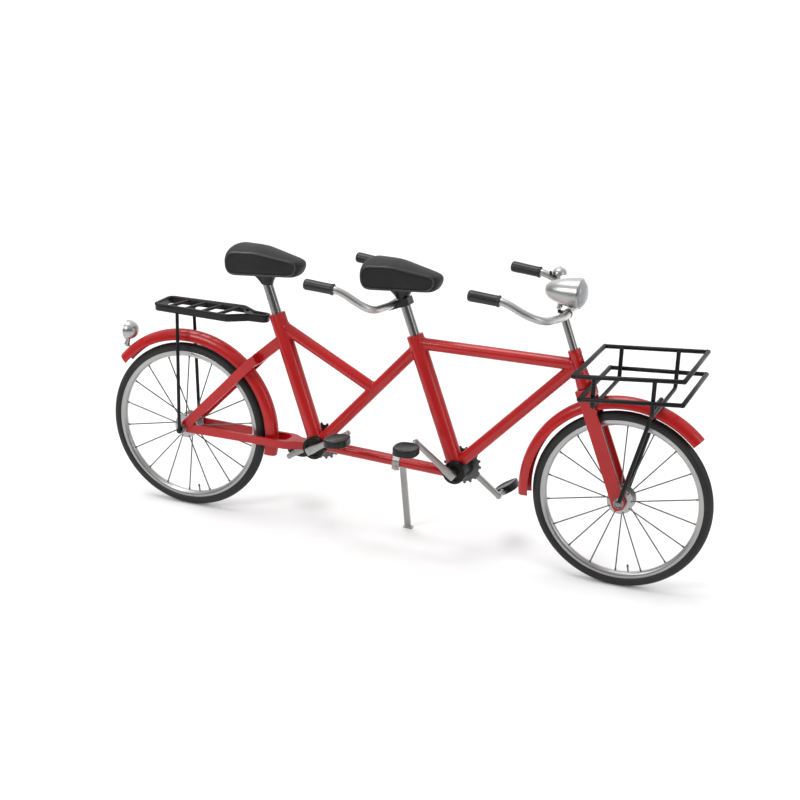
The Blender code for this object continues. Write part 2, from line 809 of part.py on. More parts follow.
def headlamp_bracket():
    """A round pivot boss between the lamp's ears, on a foot that stands on the bar clamp."""
    boss = cylinder_between(
        lamp_pivot - Vector((0.0, LAMP_PIVOT_HALF, 0.0)),
        lamp_pivot + Vector((0.0, LAMP_PIVOT_HALF, 0.0)),
        LAMP_PIVOT_R,
        12,
    )
    place(boss, "headlamp_bracket", steering, black_paint, smooth=False)
    foot = box_at(
        lamp_pivot - Vector((0.0, 0.0, 0.0120)),
        (LAMP_PIVOT_R, 2 * LAMP_PIVOT_HALF, 0.0200),
    )
    boolean(boss, place_cutter(foot, "lamp_foot", steering), "UNION")
    arm = box_at(
        (lamp_pivot.x + 0.0060, 0.0, lamp_pivot.z - 0.0180),
        (0.0200, 2 * LAMP_PIVOT_HALF, 0.0080),
    )
    boolean(boss, place_cutter(arm, "lamp_arm", steering), "UNION")
    cope(boss, steering, STEER_TOP, quill_top + steer_dir * GAP, STEERER_R)


headlamp_housing()
headlamp_lens()
headlamp_bracket()

BELL_AT = Vector((0.5400, 0.2520, 1.0850))
BELL_LEVER_AT = math.radians(225)
bell_lever_axis = add_group("bell_lever_axis", BELL_AT + Vector((0.0, 0.0, 0.020)), steering)


def bell():
    """A dome on a short foot above the left end of the bar, and its thumb lever."""
    profile = [
        (0.0, 0.0545),
        (0.014, 0.0515),
        (0.024, 0.0425),
        (0.029, 0.0300),
        (0.029, 0.0265),
        (0.010, 0.0265),
        (0.010, 0.0208),
        (0.0, 0.0208),
    ]
    body = turn(profile, BELL_AT, 16, turn_axis="Z")
    place(body, "bell", steering, chrome)


def bell_lever():
    """A ring round the bell's neck with a thumb arm that is turned up at its end."""
    low, high = 0.0222, 0.0250
    towards_thumb = Vector((math.cos(BELL_LEVER_AT), math.sin(BELL_LEVER_AT), 0.0))
    ring_profile = [(0.0108, low), (0.0108, high), (0.0150, high), (0.0150, low)]
    ring = turn(ring_profile, BELL_AT, 12, closed=True, turn_axis="Z")
    place(ring, "bell_lever", bell_lever_axis, black_plastic, smooth=False)
    middle = Vector((0.0, 0.0, (low + high) / 2))
    arm = box_at(BELL_AT + towards_thumb * 0.0265 + middle, (0.0270, 0.0100, high - low))
    thumb_at = BELL_AT + towards_thumb * 0.0390 + Vector((0.0, 0.0, 0.0300))
    thumb = box_at(thumb_at, (0.0040, 0.0140, 0.0160))
    for piece, name in ((arm, "bell_lever_arm"), (thumb, "bell_lever_thumb")):
        piece.rotation_euler = (0.0, 0.0, BELL_LEVER_AT)
        boolean(ring, place_cutter(piece, name, bell_lever_axis), "UNION")


bell()
bell_lever()


# ---------------------------------------------------------------- basket
BASKET_TOP = ((0.7440, 0.2215, 0.8610), (1.1404, 0.2135, 0.8986))
BASKET_LOW = ((0.7720, 0.2237, 0.7800), (1.1426, 0.2126, 0.8122))


def basket_frame(name, corners):
    (rear_x, rear_y, rear_z), (front_x, front_y, front_z) = corners
    loop = [
        (rear_x, -rear_y, rear_z),
        (front_x, -front_y, front_z),
        (front_x, front_y, front_z),
        (rear_x, rear_y, rear_z),
    ]
    frame_loop = wire(smooth_points(loop, 0.014, steps=2, cyclic=True), ROD_R, cyclic=True)
    return place(frame_loop, name, steering, black_paint)


def basket_hoop(name, x, half_width, top_z, bottom_z):
    corners = [
        (x, -half_width, top_z),
        (x, -half_width, bottom_z),
        (x, half_width, bottom_z),
        (x, half_width, top_z),
    ]
    hoop = wire(smooth_points(corners, 0.020, steps=3), ROD_R)
    return place(hoop, name, steering, black_paint)


basket_frame("basket_top_frame", BASKET_TOP)
basket_frame("basket_lower_frame", BASKET_LOW)
basket_hoop("basket_hoop_rear", 0.8160, 0.2020, 0.8690, 0.7475)
basket_hoop("basket_hoop_front", 1.0330, 0.1970, 0.8890, 0.7440)


def basket_stay():
    """An inverted U from both ends of the axle up to the front hoop."""
    axle_y = FORK_OUTER_Y + 0.0190
    top_x = 1.0330 - 2 * ROD_R - 0.0010
    top_z = 0.7440
    corners = [
        (FRONT_X + 0.006, -axle_y, WHEEL_R + 0.020),
        (top_x, -0.0560, top_z),
        (top_x, 0.0560, top_z),
        (FRONT_X + 0.006, axle_y, WHEEL_R + 0.020),
    ]
    stay = wire(smooth_points(corners, 0.020, steps=3), ROD_R * 0.9)
    return place(stay, "basket_stay", steering, black_paint)


basket_stay()


# ---------------------------------------------------------------- seats
SADDLE_LENGTH = 0.342
SADDLE_REAR_HALF = 0.107
SADDLE_NOSE_HALF = 0.036
SADDLE_HEIGHT = 0.122


def saddle(name, rear_x, top_z, group):
    """A soft wedge in plan, thick all round, from a coarse subdivided cage."""
    work = bmesh.new()
    bmesh.ops.create_cube(work, size=1.0)
    bmesh.ops.subdivide_edges(work, edges=work.edges, cuts=2, use_grid_fill=True)
    for vert in work.verts:
        u = vert.co.x + 0.5
        half = SADDLE_REAR_HALF + (SADDLE_NOSE_HALF - SADDLE_REAR_HALF) * min(1.0, u * 1.08)
        underside = -SADDLE_HEIGHT + 0.020 * min(1.0, u * 2.0)
        topside = -0.024 * u * u
        w = vert.co.z + 0.5
        vert.co.x = SADDLE_LENGTH * u
        vert.co.y = 2 * vert.co.y * half
        vert.co.z = underside + (topside - underside) * w
    mesh = bpy.data.meshes.new(name)
    work.to_mesh(mesh)
    work.free()
    obj = new_object(name, mesh, (rear_x, 0.0, top_z))
    subdivision = obj.modifiers.new("subdivision", "SUBSURF")
    subdivision.levels = 1
    subdivision.render_levels = 1
    return place(obj, name, group, saddle_vinyl)


def seat(name, bb, tube_top, saddle_rear_x, saddle_top_z, post_top_z):
    """Post, bracket and saddle that slide together in the seat tube."""
    post_dir = (tube_top - bb).normalized()
    group = add_group(name + "_seat_axis", tube_top, frame)
    post_top = tube_top + post_dir * ((post_top_z - tube_top.z) / post_dir.z)
    post = cylinder_between(along_line(tube_top, bb, POST_DEPTH), post_top, POST_R)
    place(post, name + "_seatpost", group, satin_steel)
    top_z = saddle_top_z - SADDLE_HEIGHT + 0.0108
    profile_z = post_top_z + GAP
    bracket = bracket_block(post_top, profile_z, top_z)
    place(bracket, name + "_saddle_bracket", group, black_plastic, smooth=False)
    saddle(name + "_saddle", saddle_rear_x, saddle_top_z, group)
    return group


def bracket_block(post_top, low_z, high_z):
    """A funnel block from the post up to the saddle's underside."""
    bpy.ops.mesh.primitive_cube_add(size=1.0)
    obj = bpy.context.object
    height = high_z - low_z
    for vert in obj.data.vertices:
        high = vert.co.z > 0
        half_x = 0.050 if high else 0.022
        half_y = 0.026 if high else 0.020
        shift = -0.012 if high else 0.0
        vert.co.x = math.copysign(half_x, vert.co.x) + shift
        vert.co.y = math.copysign(half_y, vert.co.y)
        vert.co.z = height if high else 0.008
    obj.location = (post_top.x, 0.0, low_z)
    return obj


captain_seat_axis = seat("captain", CAPTAIN_BB, CAPTAIN_SEAT_TOP, -0.164, 1.147, 1.004)
stoker_seat_axis = seat("stoker", STOKER_BB, STOKER_SEAT_TOP, -0.732, 1.131, 0.987)


# ---------------------------------------------------------------- stoker's bar
post_dir = (CAPTAIN_SEAT_TOP - CAPTAIN_BB).normalized()
stoker_clamp_at = CAPTAIN_SEAT_TOP + post_dir * 0.128
stoker_bar_at = stoker_clamp_at + Vector((-0.0395, 0.0, -0.0030))


def stoker_clamp():
    """The block that grips the captain's post and carries the stoker's bar behind it."""
    pitch = math.atan2(post_dir.x, post_dir.z)
    middle = stoker_clamp_at * 0.55 + stoker_bar_at * 0.45
    block = box_at(middle, (0.088, 0.052, 0.030), pitch)
    place(block, "stoker_bar_clamp", captain_seat_axis, black_plastic, smooth=False)
    post = cylinder_between(
        stoker_clamp_at - post_dir * 0.05, stoker_clamp_at + post_dir * 0.05, POST_R + GAP
    )
    boolean(block, place_cutter(post, "clamp_post_bore", captain_seat_axis))
    wide = Vector((0.0, 0.060, 0.0))
    bar = cylinder_between(stoker_bar_at - wide, stoker_bar_at + wide, BAR_R + 0.0012)
    boolean(block, place_cutter(bar, "clamp_bar_bore", captain_seat_axis))


stoker_clamp()
handlebar(
    "stoker",
    (-0.1790, 0.2480, 1.0630),
    (-0.2972, 0.2541, 1.0718),
    captain_seat_axis,
    [
        (-0.0950, 0.2300, 1.0200),
        (-0.0420, 0.2050, 0.9880),
        (stoker_bar_at.x, 0.0650, stoker_bar_at.z),
    ],
)


# ---------------------------------------------------------------- cranksets
def ring_outline():
    """A round disc with short stub teeth."""
    outline = []
    pitch = 2 * math.pi / RING_TEETH
    for tooth in range(RING_TEETH):
        middle = tooth * pitch
        for share, radius in (
            (-0.30, RING_ROOT_R),
            (-0.16, RING_TIP_R),
            (0.16, RING_TIP_R),
            (0.30, RING_ROOT_R),
        ):
            angle = middle + share * pitch
            outline.append((radius * math.cos(angle), radius * math.sin(angle)))
    return outline


def crankset(name, bb, angle, pedal_tilts):
    """Spindle with both arms, a toothed ring on the left, and two pedals."""
    group = add_group(name + "_crank_axis", bb, frame)
    spindle = cylinder_between(
        bb - Vector((0.0, CRANK_ARM_Y + 0.004, 0.0)),
        bb + Vector((0.0, CRANK_ARM_Y + 0.004, 0.0)),
        0.0110,
    )
    place(spindle, name + "_crank", group, satin_steel)
    for side, arm_angle in ((-1, angle), (1, angle + math.pi)):
        end = (CRANK_LENGTH * math.cos(arm_angle), CRANK_LENGTH * math.sin(arm_angle))
        arm = plate(
            [capsule_outline((0.0, 0.0), end, 0.0160, CRANK_ARM_WIDTH / 2)],
            CRANK_ARM_THICK,
            bb + Vector((0.0, side * (CRANK_ARM_Y + CRANK_ARM_THICK / 2), 0.0)),
        )
        boolean(spindle, place_cutter(arm, "crank_arm", group), "UNION")
    ring = plate([ring_outline()], RING_THICK, bb + Vector((0.0, BB_HALF_WIDTH + 0.0060, 0.0)))
    place(ring, name + "_chainring", group, dark_steel, smooth=False)
    boolean(ring, place_cutter(
        cylinder_between(bb - bb_side, bb + bb_side, 0.0110 + GAP), "ring_bore", group
    ))
    for side, arm_angle, tilt, word in (
        (-1, angle, pedal_tilts[0], "right"),
        (1, angle + math.pi, pedal_tilts[1], "left"),
    ):
        pedal_at = polar(bb, CRANK_LENGTH, arm_angle, side * PEDAL_Y)
        pedal(name + "_pedal_" + word, pedal_at, side, tilt, group)
    return group


def pedal(name, centre, side, tilt, crank_group):
    """A round black tread block with its own spindle stub."""
    group = add_group(name + "_axis", centre, crank_group)
    bpy.ops.mesh.primitive_cylinder_add(vertices=20, radius=1.0, depth=PEDAL_THICK)
    block = bpy.context.object
    block.data.transform(Matrix.Diagonal((PEDAL_HALF_LENGTH, PEDAL_HALF_WIDTH, 1.0, 1.0)))
    block.location = centre
    block.rotation_euler = (0.0, tilt, 0.0)
    place(block, name, group, black_plastic)
    inner_y = CRANK_ARM_Y + CRANK_ARM_THICK + GAP
    stub = cylinder_between(
        (centre.x, side * inner_y, centre.z), (centre.x, side * (PEDAL_Y - 0.02), centre.z), 0.008, 10
    )
    boolean(block, place_cutter(stub, "pedal_stub", group), "UNION")
    soften(block, 0.004, 1, 60.0)


crankset("captain", CAPTAIN_BB, CAPTAIN_CRANK_ANGLE, (0.0, math.radians(-32)))
crankset("stoker", STOKER_BB, STOKER_CRANK_ANGLE, (math.radians(-6), math.radians(10)))


# ---------------------------------------------------------------- kickstand
KICK_AT = Vector((0.0180, 0.0385, 0.3120))
KICK_SPLAY = math.radians(17.5)
LEG_WIDTH = 0.0260
LEG_THICK = 0.0100
kick_axis = add_group("kickstand_axis", KICK_AT, frame)
kick_down = Vector((0.0, math.sin(KICK_SPLAY), -math.cos(KICK_SPLAY)))


def kickstand():
    """A clamp round the boom tube and a flat leg that swings up behind it."""
    clamp = box_at((0.0100, 0.0, 0.3360), (0.036, 0.056, 0.060))
    place(clamp, "kickstand_clamp", frame, satin_steel, smooth=False)
    cope(clamp, frame, *BOOM, BOOM_R)
    outward = Vector((0.0, -kick_down.z, kick_down.y))
    boss = cylinder_between(
        KICK_AT - outward * 0.022, KICK_AT - outward * (LEG_THICK / 2 + GAP), 0.009, 12
    )
    boolean(clamp, place_cutter(boss, "kickstand_boss", frame), "UNION")
    reach = foot_distance()
    leg = box_at(KICK_AT + kick_down * (reach / 2 - 0.004), (LEG_WIDTH, LEG_THICK, reach + 0.008))
    leg.rotation_euler = (math.atan2(kick_down.y, -kick_down.z), 0.0, 0.0)
    place(leg, "kickstand_leg", kick_axis, satin_steel, smooth=False)
    foot_at = KICK_AT + kick_down * (reach - 0.002)
    foot = box_at(foot_at + Vector((0.003, -0.004, 0.0)), (0.038, 0.020, 0.008))
    foot.rotation_euler = (LEAN, 0.0, 0.0)
    boolean(leg, place_cutter(foot, "kickstand_foot", kick_axis), "UNION")
    to_bike = Matrix.Rotation(LEAN, 3, "X")
    ground = box_at(to_bike @ Vector((0.0, 0.12, -0.050 - lean_shift)), (0.2, 0.3, 0.1))
    ground.rotation_euler = (LEAN, 0.0, 0.0)
    boolean(leg, place_cutter(ground, "kickstand_ground", kick_axis))


def foot_distance():
    """How far the leg runs before it meets the ground that the leaning bike stands on."""
    up = Vector((0.0, -math.sin(LEAN), math.cos(LEAN)))
    return (KICK_AT.dot(up) + lean_shift) / -kick_down.dot(up)


kickstand()


# ---------------------------------------------------------------- rear rack and tail lamp
RACK_Z = 0.8430
RACK_BAYS = 5
RACK_BAY = 0.0600
RACK_FIRST_BAY = -0.9930


def rear_rack():
    """A flat platform with slanted cross bars, drawn in to the stoker's seat tube."""
    outer = [
        (-1.0320, -0.0700),
        (-1.0380, 0.0),
        (-1.0320, 0.0700),
        (-1.0200, 0.0800),
        (-0.7100, 0.0855),
        (-0.6900, 0.0800),
        (-0.6400, 0.0300),
        (-0.5600, 0.0220),
        (-0.5600, -0.0220),
        (-0.6400, -0.0300),
        (-0.6900, -0.0800),
        (-0.7100, -0.0855),
        (-1.0200, -0.0800),
    ]
    work = bmesh.new()
    for index in range(RACK_BAYS):
        middle = Vector((RACK_FIRST_BAY + index * RACK_BAY, 0.0, RACK_Z))
        size = Matrix.Diagonal((RACK_BAY - 0.014, 0.130, 0.060, 1.0))
        bmesh.ops.create_cube(work, size=1.0, matrix=Matrix.Translation(middle) @ size)
    bays = bpy.data.meshes.new("bays")
    work.to_mesh(bays)
    work.free()
    rack = plate([outer], 0.022, (0.0, 0.0, RACK_Z), axes="XY")
    boolean(rack, place_cutter(new_object("bays", bays), "rack_bays", frame))
    place(rack, "rear_rack", frame, black_paint, smooth=False)
    cope(rack, frame, STOKER_BB, STOKER_SEAT_TOP + (STOKER_SEAT_TOP - STOKER_BB) * 0.1, SEAT_TUBE_R)
    for side, word in ((-1, "right"), (1, "left")):
        top = (-0.9300, side * 0.0700, RACK_Z - 0.0118 - GAP)
        bottom = (REAR_X, side * (REAR_CLAMP_Y + 0.0240), WHEEL_R - 0.010)
        strut = cylinder_between(top, bottom, 0.0075, 8)
        place(strut, "rack_strut_" + word, frame, black_paint)


def tail_lamp():
    """A round cup with a red lens facing back, on a plate above the mudguard's end."""
    centre = Vector((-1.1750, 0.0, 0.7060))
    shell_profile = [
        (0.0, 0.030),
        (0.024, 0.026),
        (0.037, 0.014),
        (0.0415, 0.0),
        (0.0415, -0.022),
        (0.0, -0.022),
    ]
    shell = turn(shell_profile, centre, 18, turn_axis="X")
    place(shell, "tail_lamp_housing", frame, chrome)
    foot = box_at((-1.1930, 0.0, 0.6600), (0.004, 0.020, 0.0425), math.radians(-6))
    boolean(shell, place_cutter(foot, "tail_lamp_foot", frame), "UNION")
    lens_profile = [
        (0.0, -0.022 - GAP),
        (0.037, -0.022 - GAP),
        (0.030, -0.030),
        (0.0, -0.033),
    ]
    place(turn(lens_profile, centre, 18, turn_axis="X"), "tail_lamp_lens", frame, red_lens)


rear_rack()
tail_lamp()
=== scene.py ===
"""Looks for the tandem bicycle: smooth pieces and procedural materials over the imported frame.

Pieces are built in the bicycle's own upright axes (+X forward, +Y left, +Z up, the ground
midway between the wheels at the origin), then moved by UPRIGHT into the leaning row frame.
"""
import json
import math

import bmesh
import bpy
import numpy as np
from mathutils import Matrix, Vector


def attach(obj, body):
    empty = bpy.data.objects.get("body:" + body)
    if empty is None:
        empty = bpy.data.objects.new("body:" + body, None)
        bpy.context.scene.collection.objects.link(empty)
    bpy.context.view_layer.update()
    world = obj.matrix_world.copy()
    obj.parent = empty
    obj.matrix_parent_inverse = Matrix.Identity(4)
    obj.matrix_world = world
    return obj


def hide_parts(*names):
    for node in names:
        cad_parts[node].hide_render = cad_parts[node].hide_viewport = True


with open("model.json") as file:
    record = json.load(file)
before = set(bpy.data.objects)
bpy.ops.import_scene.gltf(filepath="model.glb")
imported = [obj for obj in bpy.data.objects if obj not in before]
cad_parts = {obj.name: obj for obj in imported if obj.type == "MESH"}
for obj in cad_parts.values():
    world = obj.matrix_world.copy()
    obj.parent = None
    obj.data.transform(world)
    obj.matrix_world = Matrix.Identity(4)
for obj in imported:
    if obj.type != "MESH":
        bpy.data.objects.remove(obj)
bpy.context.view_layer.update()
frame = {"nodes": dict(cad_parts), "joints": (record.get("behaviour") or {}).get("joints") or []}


# ---------------------------------------------------------------- the leaning bicycle's axes
joints = {joint["name"]: joint for joint in frame["joints"]}
AXIS_X = Vector((1.0, 0.0, 0.0))
AXIS_Y = Vector(joints["rear_wheel_spin"]["axis"]).normalized()
AXIS_Z = AXIS_X.cross(AXIS_Y)
LEAN = Matrix((AXIS_X, AXIS_Y, AXIS_Z)).transposed()


def joint_at(name):
    """A joint's place in row coordinates."""
    return Vector(joints[name]["pos_m"])


def leaning_vertices(node):
    """A CAD node's vertices turned to upright directions, still measured from the row origin."""
    coordinates = np.array([vert.co for vert in frame["nodes"][node].data.vertices])
    return coordinates @ np.array(LEAN)


rear_span = leaning_vertices("rear_tyre")
WHEEL_R = float(rear_span[:, 0].max() - rear_span[:, 0].min()) / 2
ORIGIN = (joint_at("front_wheel_spin") + joint_at("rear_wheel_spin")) / 2 - AXIS_Z * WHEEL_R
UPRIGHT = Matrix.Translation(ORIGIN) @ LEAN.to_4x4()
TO_UPRIGHT = UPRIGHT.inverted()


def vertices_of(node):
    """A CAD node's vertices in upright coordinates."""
    return leaning_vertices(node) - np.array(ORIGIN @ LEAN)


def span(node):
    """The lowest and highest corners of a CAD node in upright coordinates."""
    points = vertices_of(node)
    return Vector(points.min(0)), Vector(points.max(0))


def upright(point):
    """A row point in upright coordinates."""
    return TO_UPRIGHT @ Vector(point)


def upright_axis(name):
    """A joint's axis in upright directions."""
    return (Vector(joints[name]["axis"]) @ LEAN).normalized()


FRONT_AXLE = upright(joint_at("front_wheel_spin"))
REAR_AXLE = upright(joint_at("rear_wheel_spin"))
CAPTAIN_BB = upright(joint_at("captain_crank_spin"))
STOKER_BB = upright(joint_at("stoker_crank_spin"))
STEER_AT = upright(joint_at("steering_turn"))
STEER_DIR = upright_axis("steering_turn")


def centreline(node):
    """The two ends and end radii of a straight round bar, measured from its CAD mesh."""
    points = vertices_of(node)
    middle = points.mean(0)
    direction = np.linalg.svd(points - middle, full_matrices=False)[2][0]
    for _ in range(3):
        across = np.cross(direction, (0.0, 1.0, 0.0))
        across /= np.linalg.norm(across)
        other = np.cross(direction, across)
        along = points @ direction
        reach = np.ptp(along)
        ends, radii = [], []
        for chosen in (along < along.min() + reach * 0.2, along > along.max() - reach * 0.2):
            group = points[chosen]
            sides = [group @ across, group @ other]
            mids = [(side.max() + side.min()) / 2 for side in sides]
            ends.append(across * mids[0] + other * mids[1])
            radii.append(max(np.ptp(side) for side in sides) / 2)
        low, high = along.min(), along.max()
        start = ends[0] + direction * low
        end = ends[1] + direction * high
        direction = (end - start) / np.linalg.norm(end - start)
    return Vector(start), Vector(end), radii[0], radii[1]


def rising(node):
    """A straight bar's lower end, upper end and radius."""
    start, end, radius, _ = centreline(node)
    return (end, start, radius) if start.z > end.z else (start, end, radius)


def rearward(node):
    """A straight bar's front end, rear end and radius."""
    start, end, radius, _ = centreline(node)
    return (start, end, radius) if start.x > end.x else (end, start, radius)


# ---------------------------------------------------------------- materials


def node_material(name):
    """A new material with its nodes, links, shader and texture coordinates."""
    material = bpy.data.materials.new(name)
    material.use_nodes = True
    nodes = material.node_tree.nodes
    links = material.node_tree.links
    return material, nodes, links, nodes["Principled BSDF"], nodes.new("ShaderNodeTexCoord")


def add_noise(nodes, links, coordinates, scale, detail=3.0, stretch=(1.0, 1.0, 1.0)):
    """Noise fixed to the piece, as an output socket."""
    mapping = nodes.new("ShaderNodeMapping")
    mapping.inputs["Scale"].default_value = stretch
    links.new(coordinates.outputs["Object"], mapping.inputs["Vector"])
    noise = nodes.new("ShaderNodeTexNoise")
    noise.inputs["Scale"].default_value = scale
    noise.inputs["Detail"].default_value = detail
    links.new(mapping.outputs["Vector"], noise.inputs["Vector"])
    return noise.outputs["Fac"]


def ramp_between(nodes, links, source, low, high):
    """A colour that goes from low to high with its source, as an output socket."""
    ramp = nodes.new("ShaderNodeValToRGB")
    for element, place, colour in zip(ramp.color_ramp.elements, (0.35, 0.65), (low, high)):
        element.position = place
        element.color = (*colour, 1.0)
    links.new(source, ramp.inputs["Fac"])
    return ramp.outputs["Color"]


def map_value(nodes, links, source, low, high, start=0.3, end=0.7):
    """A value that goes from low to high while its source goes from start to end."""
    mapped = nodes.new("ShaderNodeMapRange")
    for socket, value in (("From Min", start), ("From Max", end), ("To Min", low), ("To Max", high)):
        mapped.inputs[socket].default_value = value
    links.new(source, mapped.inputs["Value"])
    return mapped.outputs["Result"]


def add_bump(nodes, links, shader, source, strength, distance):
    """Fine relief that follows a source."""
    bump = nodes.new("ShaderNodeBump")
    bump.inputs["Strength"].default_value = strength
    bump.inputs["Distance"].default_value = distance
    links.new(source, bump.inputs["Height"])
    links.new(bump.outputs["Normal"], shader.inputs["Normal"])


def surface(name, low, high, roughness, metallic=0.0, grain_scale=260.0, bump=0.08, bump_depth=0.0004,
            coat=0.0, stretch=(1.0, 1.0, 1.0), specular=0.5, painted_shade_face_on=1.0):
    """A finish whose colour, gloss and fine relief all vary a little over the surface.

    Where the surface faces the eye its colour is scaled down to the face-on factor: painted shade standing in
    for a dark reflection in the middle of polished metal.
    """
    material, nodes, links, shader, coordinates = node_material(name)
    tone = add_noise(nodes, links, coordinates, 6.0, 4.0)
    colour = ramp_between(nodes, links, tone, low, high)
    # Painted reflection: the colour is darker where the surface faces the eye, brighter towards its edges.
    if painted_shade_face_on < 1.0:
        weight = nodes.new("ShaderNodeLayerWeight")
        weight.inputs["Blend"].default_value = 0.5
        painted_shade_scale = map_value(nodes, links, weight.outputs["Facing"], painted_shade_face_on, 1.0)
        tint = nodes.new("ShaderNodeVectorMath")
        tint.operation = "SCALE"
        links.new(colour, tint.inputs[0])
        links.new(painted_shade_scale, tint.inputs["Scale"])
        colour = tint.outputs["Vector"]
    links.new(colour, shader.inputs["Base Color"])
    grain = add_noise(nodes, links, coordinates, grain_scale, 2.0, stretch)
    links.new(map_value(nodes, links, grain, *roughness), shader.inputs["Roughness"])
    add_bump(nodes, links, shader, grain, bump, bump_depth)
    shader.inputs["Metallic"].default_value = metallic
    shader.inputs["Coat Weight"].default_value = coat
    shader.inputs["Coat Roughness"].default_value = 0.06
    shader.inputs["Specular IOR Level"].default_value = specular
    material.diffuse_color = (*high, 1.0)
    return material


def saddle_leather():
    """Vinyl hide: a pebbled voronoi grain with duller creases."""
    material, nodes, links, shader, coordinates = node_material("look_saddle_vinyl")
    cells = nodes.new("ShaderNodeTexVoronoi")
    cells.inputs["Scale"].default_value = 420.0
    links.new(coordinates.outputs["Object"], cells.inputs["Vector"])
    tone = add_noise(nodes, links, coordinates, 14.0, 5.0)
    colour = ramp_between(nodes, links, tone, (0.0080, 0.0080, 0.0078), (0.0120, 0.0120, 0.0117))
    links.new(colour, shader.inputs["Base Color"])
    links.new(map_value(nodes, links, cells.outputs["Distance"], 0.50, 0.62), shader.inputs["Roughness"])
    add_bump(nodes, links, shader, cells.outputs["Distance"], 0.25, 0.0006)
    shader.inputs["Specular IOR Level"].default_value = 0.30
    shader.inputs["Sheen Weight"].default_value = 0.06
    shader.inputs["Sheen Roughness"].default_value = 0.45
    material.diffuse_color = (0.03, 0.03, 0.03, 1.0)
    return material


def lens_glass(name, colour, roughness):
    """Moulded lens with fine upright flutes."""
    material, nodes, links, shader, coordinates = node_material(name)
    flutes = nodes.new("ShaderNodeTexWave")
    flutes.bands_direction = "Y"
    flutes.inputs["Scale"].default_value = 60.0
    links.new(coordinates.outputs["Object"], flutes.inputs["Vector"])
    flute = flutes.outputs["Fac"]
    tone = add_noise(nodes, links, coordinates, 30.0)
    darker = tuple(channel * 0.85 for channel in colour)
    links.new(ramp_between(nodes, links, tone, darker, colour), shader.inputs["Base Color"])
    links.new(map_value(nodes, links, flute, roughness, roughness + 0.06), shader.inputs["Roughness"])
    add_bump(nodes, links, shader, flute, 0.3, 0.0008)
    shader.inputs["Coat Weight"].default_value = 0.6
    material.diffuse_color = (*colour, 1.0)
    return material


def grey(level):
    """A colour with three equal channels."""
    return (level, level, level)


RED = surface("look_red_paint", (0.370, 0.0035, 0.0045), (0.430, 0.0050, 0.0060), (0.30, 0.38),
              grain_scale=900.0, bump=0.03, coat=0.30, specular=0.30)
BLACK_PAINT = surface("look_black_paint", grey(0.0035), grey(0.0060), (0.30, 0.42),
                      grain_scale=700.0, bump=0.08, specular=0.22)
BLACK_PLASTIC = surface("look_black_plastic", grey(0.0040), grey(0.0070), (0.22, 0.34),
                        grain_scale=520.0, bump=0.10, specular=0.30)
TYRE = surface("look_tyre_rubber", grey(0.010), grey(0.018), (0.46, 0.60),
               grain_scale=420.0, bump=0.25, bump_depth=0.0006, specular=0.35)
GRIP = surface("look_grip_rubber", grey(0.007), grey(0.011), (0.30, 0.44),
               grain_scale=600.0, bump=0.15, bump_depth=0.0005, specular=0.4)
# Chrome, post steel and satin steel carry a painted reflection: their colour is darker where they face the
# eye.
CHROME = surface("look_chrome", (0.70, 0.695, 0.69), (0.82, 0.815, 0.81), (0.28, 0.36), metallic=1.0,
                 grain_scale=1200.0, bump=0.02, painted_shade_face_on=0.50)
POST_STEEL = surface("look_post_steel", (0.74, 0.735, 0.73), (0.86, 0.855, 0.85), (0.20, 0.28),
                     metallic=1.0, grain_scale=1200.0, bump=0.02, painted_shade_face_on=0.26)
SATIN = surface("look_satin_steel", (0.60, 0.595, 0.58), (0.72, 0.715, 0.70), (0.32, 0.44), metallic=1.0,
                grain_scale=700.0, bump=0.06, stretch=(1.0, 1.0, 0.08), painted_shade_face_on=0.48)
RING_STEEL = surface("look_dark_steel", grey(0.075), grey(0.115), (0.34, 0.48), metallic=0.7,
                     grain_scale=500.0, bump=0.10)
SPOKE_STEEL = surface("look_spoke_steel", grey(0.10), grey(0.15), (0.34, 0.46), metallic=0.8,
                      grain_scale=500.0, bump=0.05)
PIPING = surface("look_saddle_piping", grey(0.0140), grey(0.0220), (0.24, 0.34),
                 grain_scale=900.0, bump=0.15, specular=0.6)
VINYL = saddle_leather()
CLEAR_LENS = lens_glass("look_clear_lens", (0.30, 0.31, 0.32), 0.10)
RED_LENS = lens_glass("look_red_lens", (0.36, 0.008, 0.008), 0.16)


# ---------------------------------------------------------------- building pieces
SAME_PLACE = 0.00002
ACROSS = (0.0, 1.0, 0.0)
UPWARD = (0.0, 0.0, 1.0)
FORWARD = (1.0, 0.0, 0.0)


def linked(name, data):
    """A new object in the scene for a mesh, a lamp or a camera."""
    obj = bpy.data.objects.new(name, data)
    bpy.context.scene.collection.objects.link(obj)
    return obj


def shade(mesh, sharp_deg):
    """Smooth shading, broken where faces meet at more than an angle."""
    mesh.shade_smooth()
    mesh.set_sharp_from_angle(angle=math.radians(sharp_deg))


def mesh_object(name, verts, faces, sharp_deg=35.0):
    """A smooth upright piece from its vertices and faces."""
    mesh = bpy.data.meshes.new(name)
    mesh.from_pydata([tuple(vert) for vert in verts], [], faces)
    mesh.validate()
    return smooth_object(name, mesh, sharp_deg)


def smooth_object(name, mesh, sharp_deg=35.0):
    """A piece from a mesh, with its faces turned outwards."""
    work = bmesh.new()
    work.from_mesh(mesh)
    bmesh.ops.recalc_face_normals(work, faces=work.faces)
    work.to_mesh(mesh)
    work.free()
    shade(mesh, sharp_deg)
    return linked(name, mesh)


def fit_out(obj, body, material, slot, *nodes):
    """Move a piece from upright to row coordinates and hand it to its body."""
    obj.data.transform(UPRIGHT)
    obj.data.materials.clear()
    obj.data.materials.append(material)
    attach(obj, body)
    if nodes:
        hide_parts(*nodes)


def join(name, objects):
    """Merge several upright meshes into one object."""
    work = bmesh.new()
    for obj in objects:
        work.from_mesh(obj.data)
        bpy.data.objects.remove(obj, do_unlink=True)
    mesh = bpy.data.meshes.new(name)
    work.to_mesh(mesh)
    work.free()
    return linked(name, mesh)


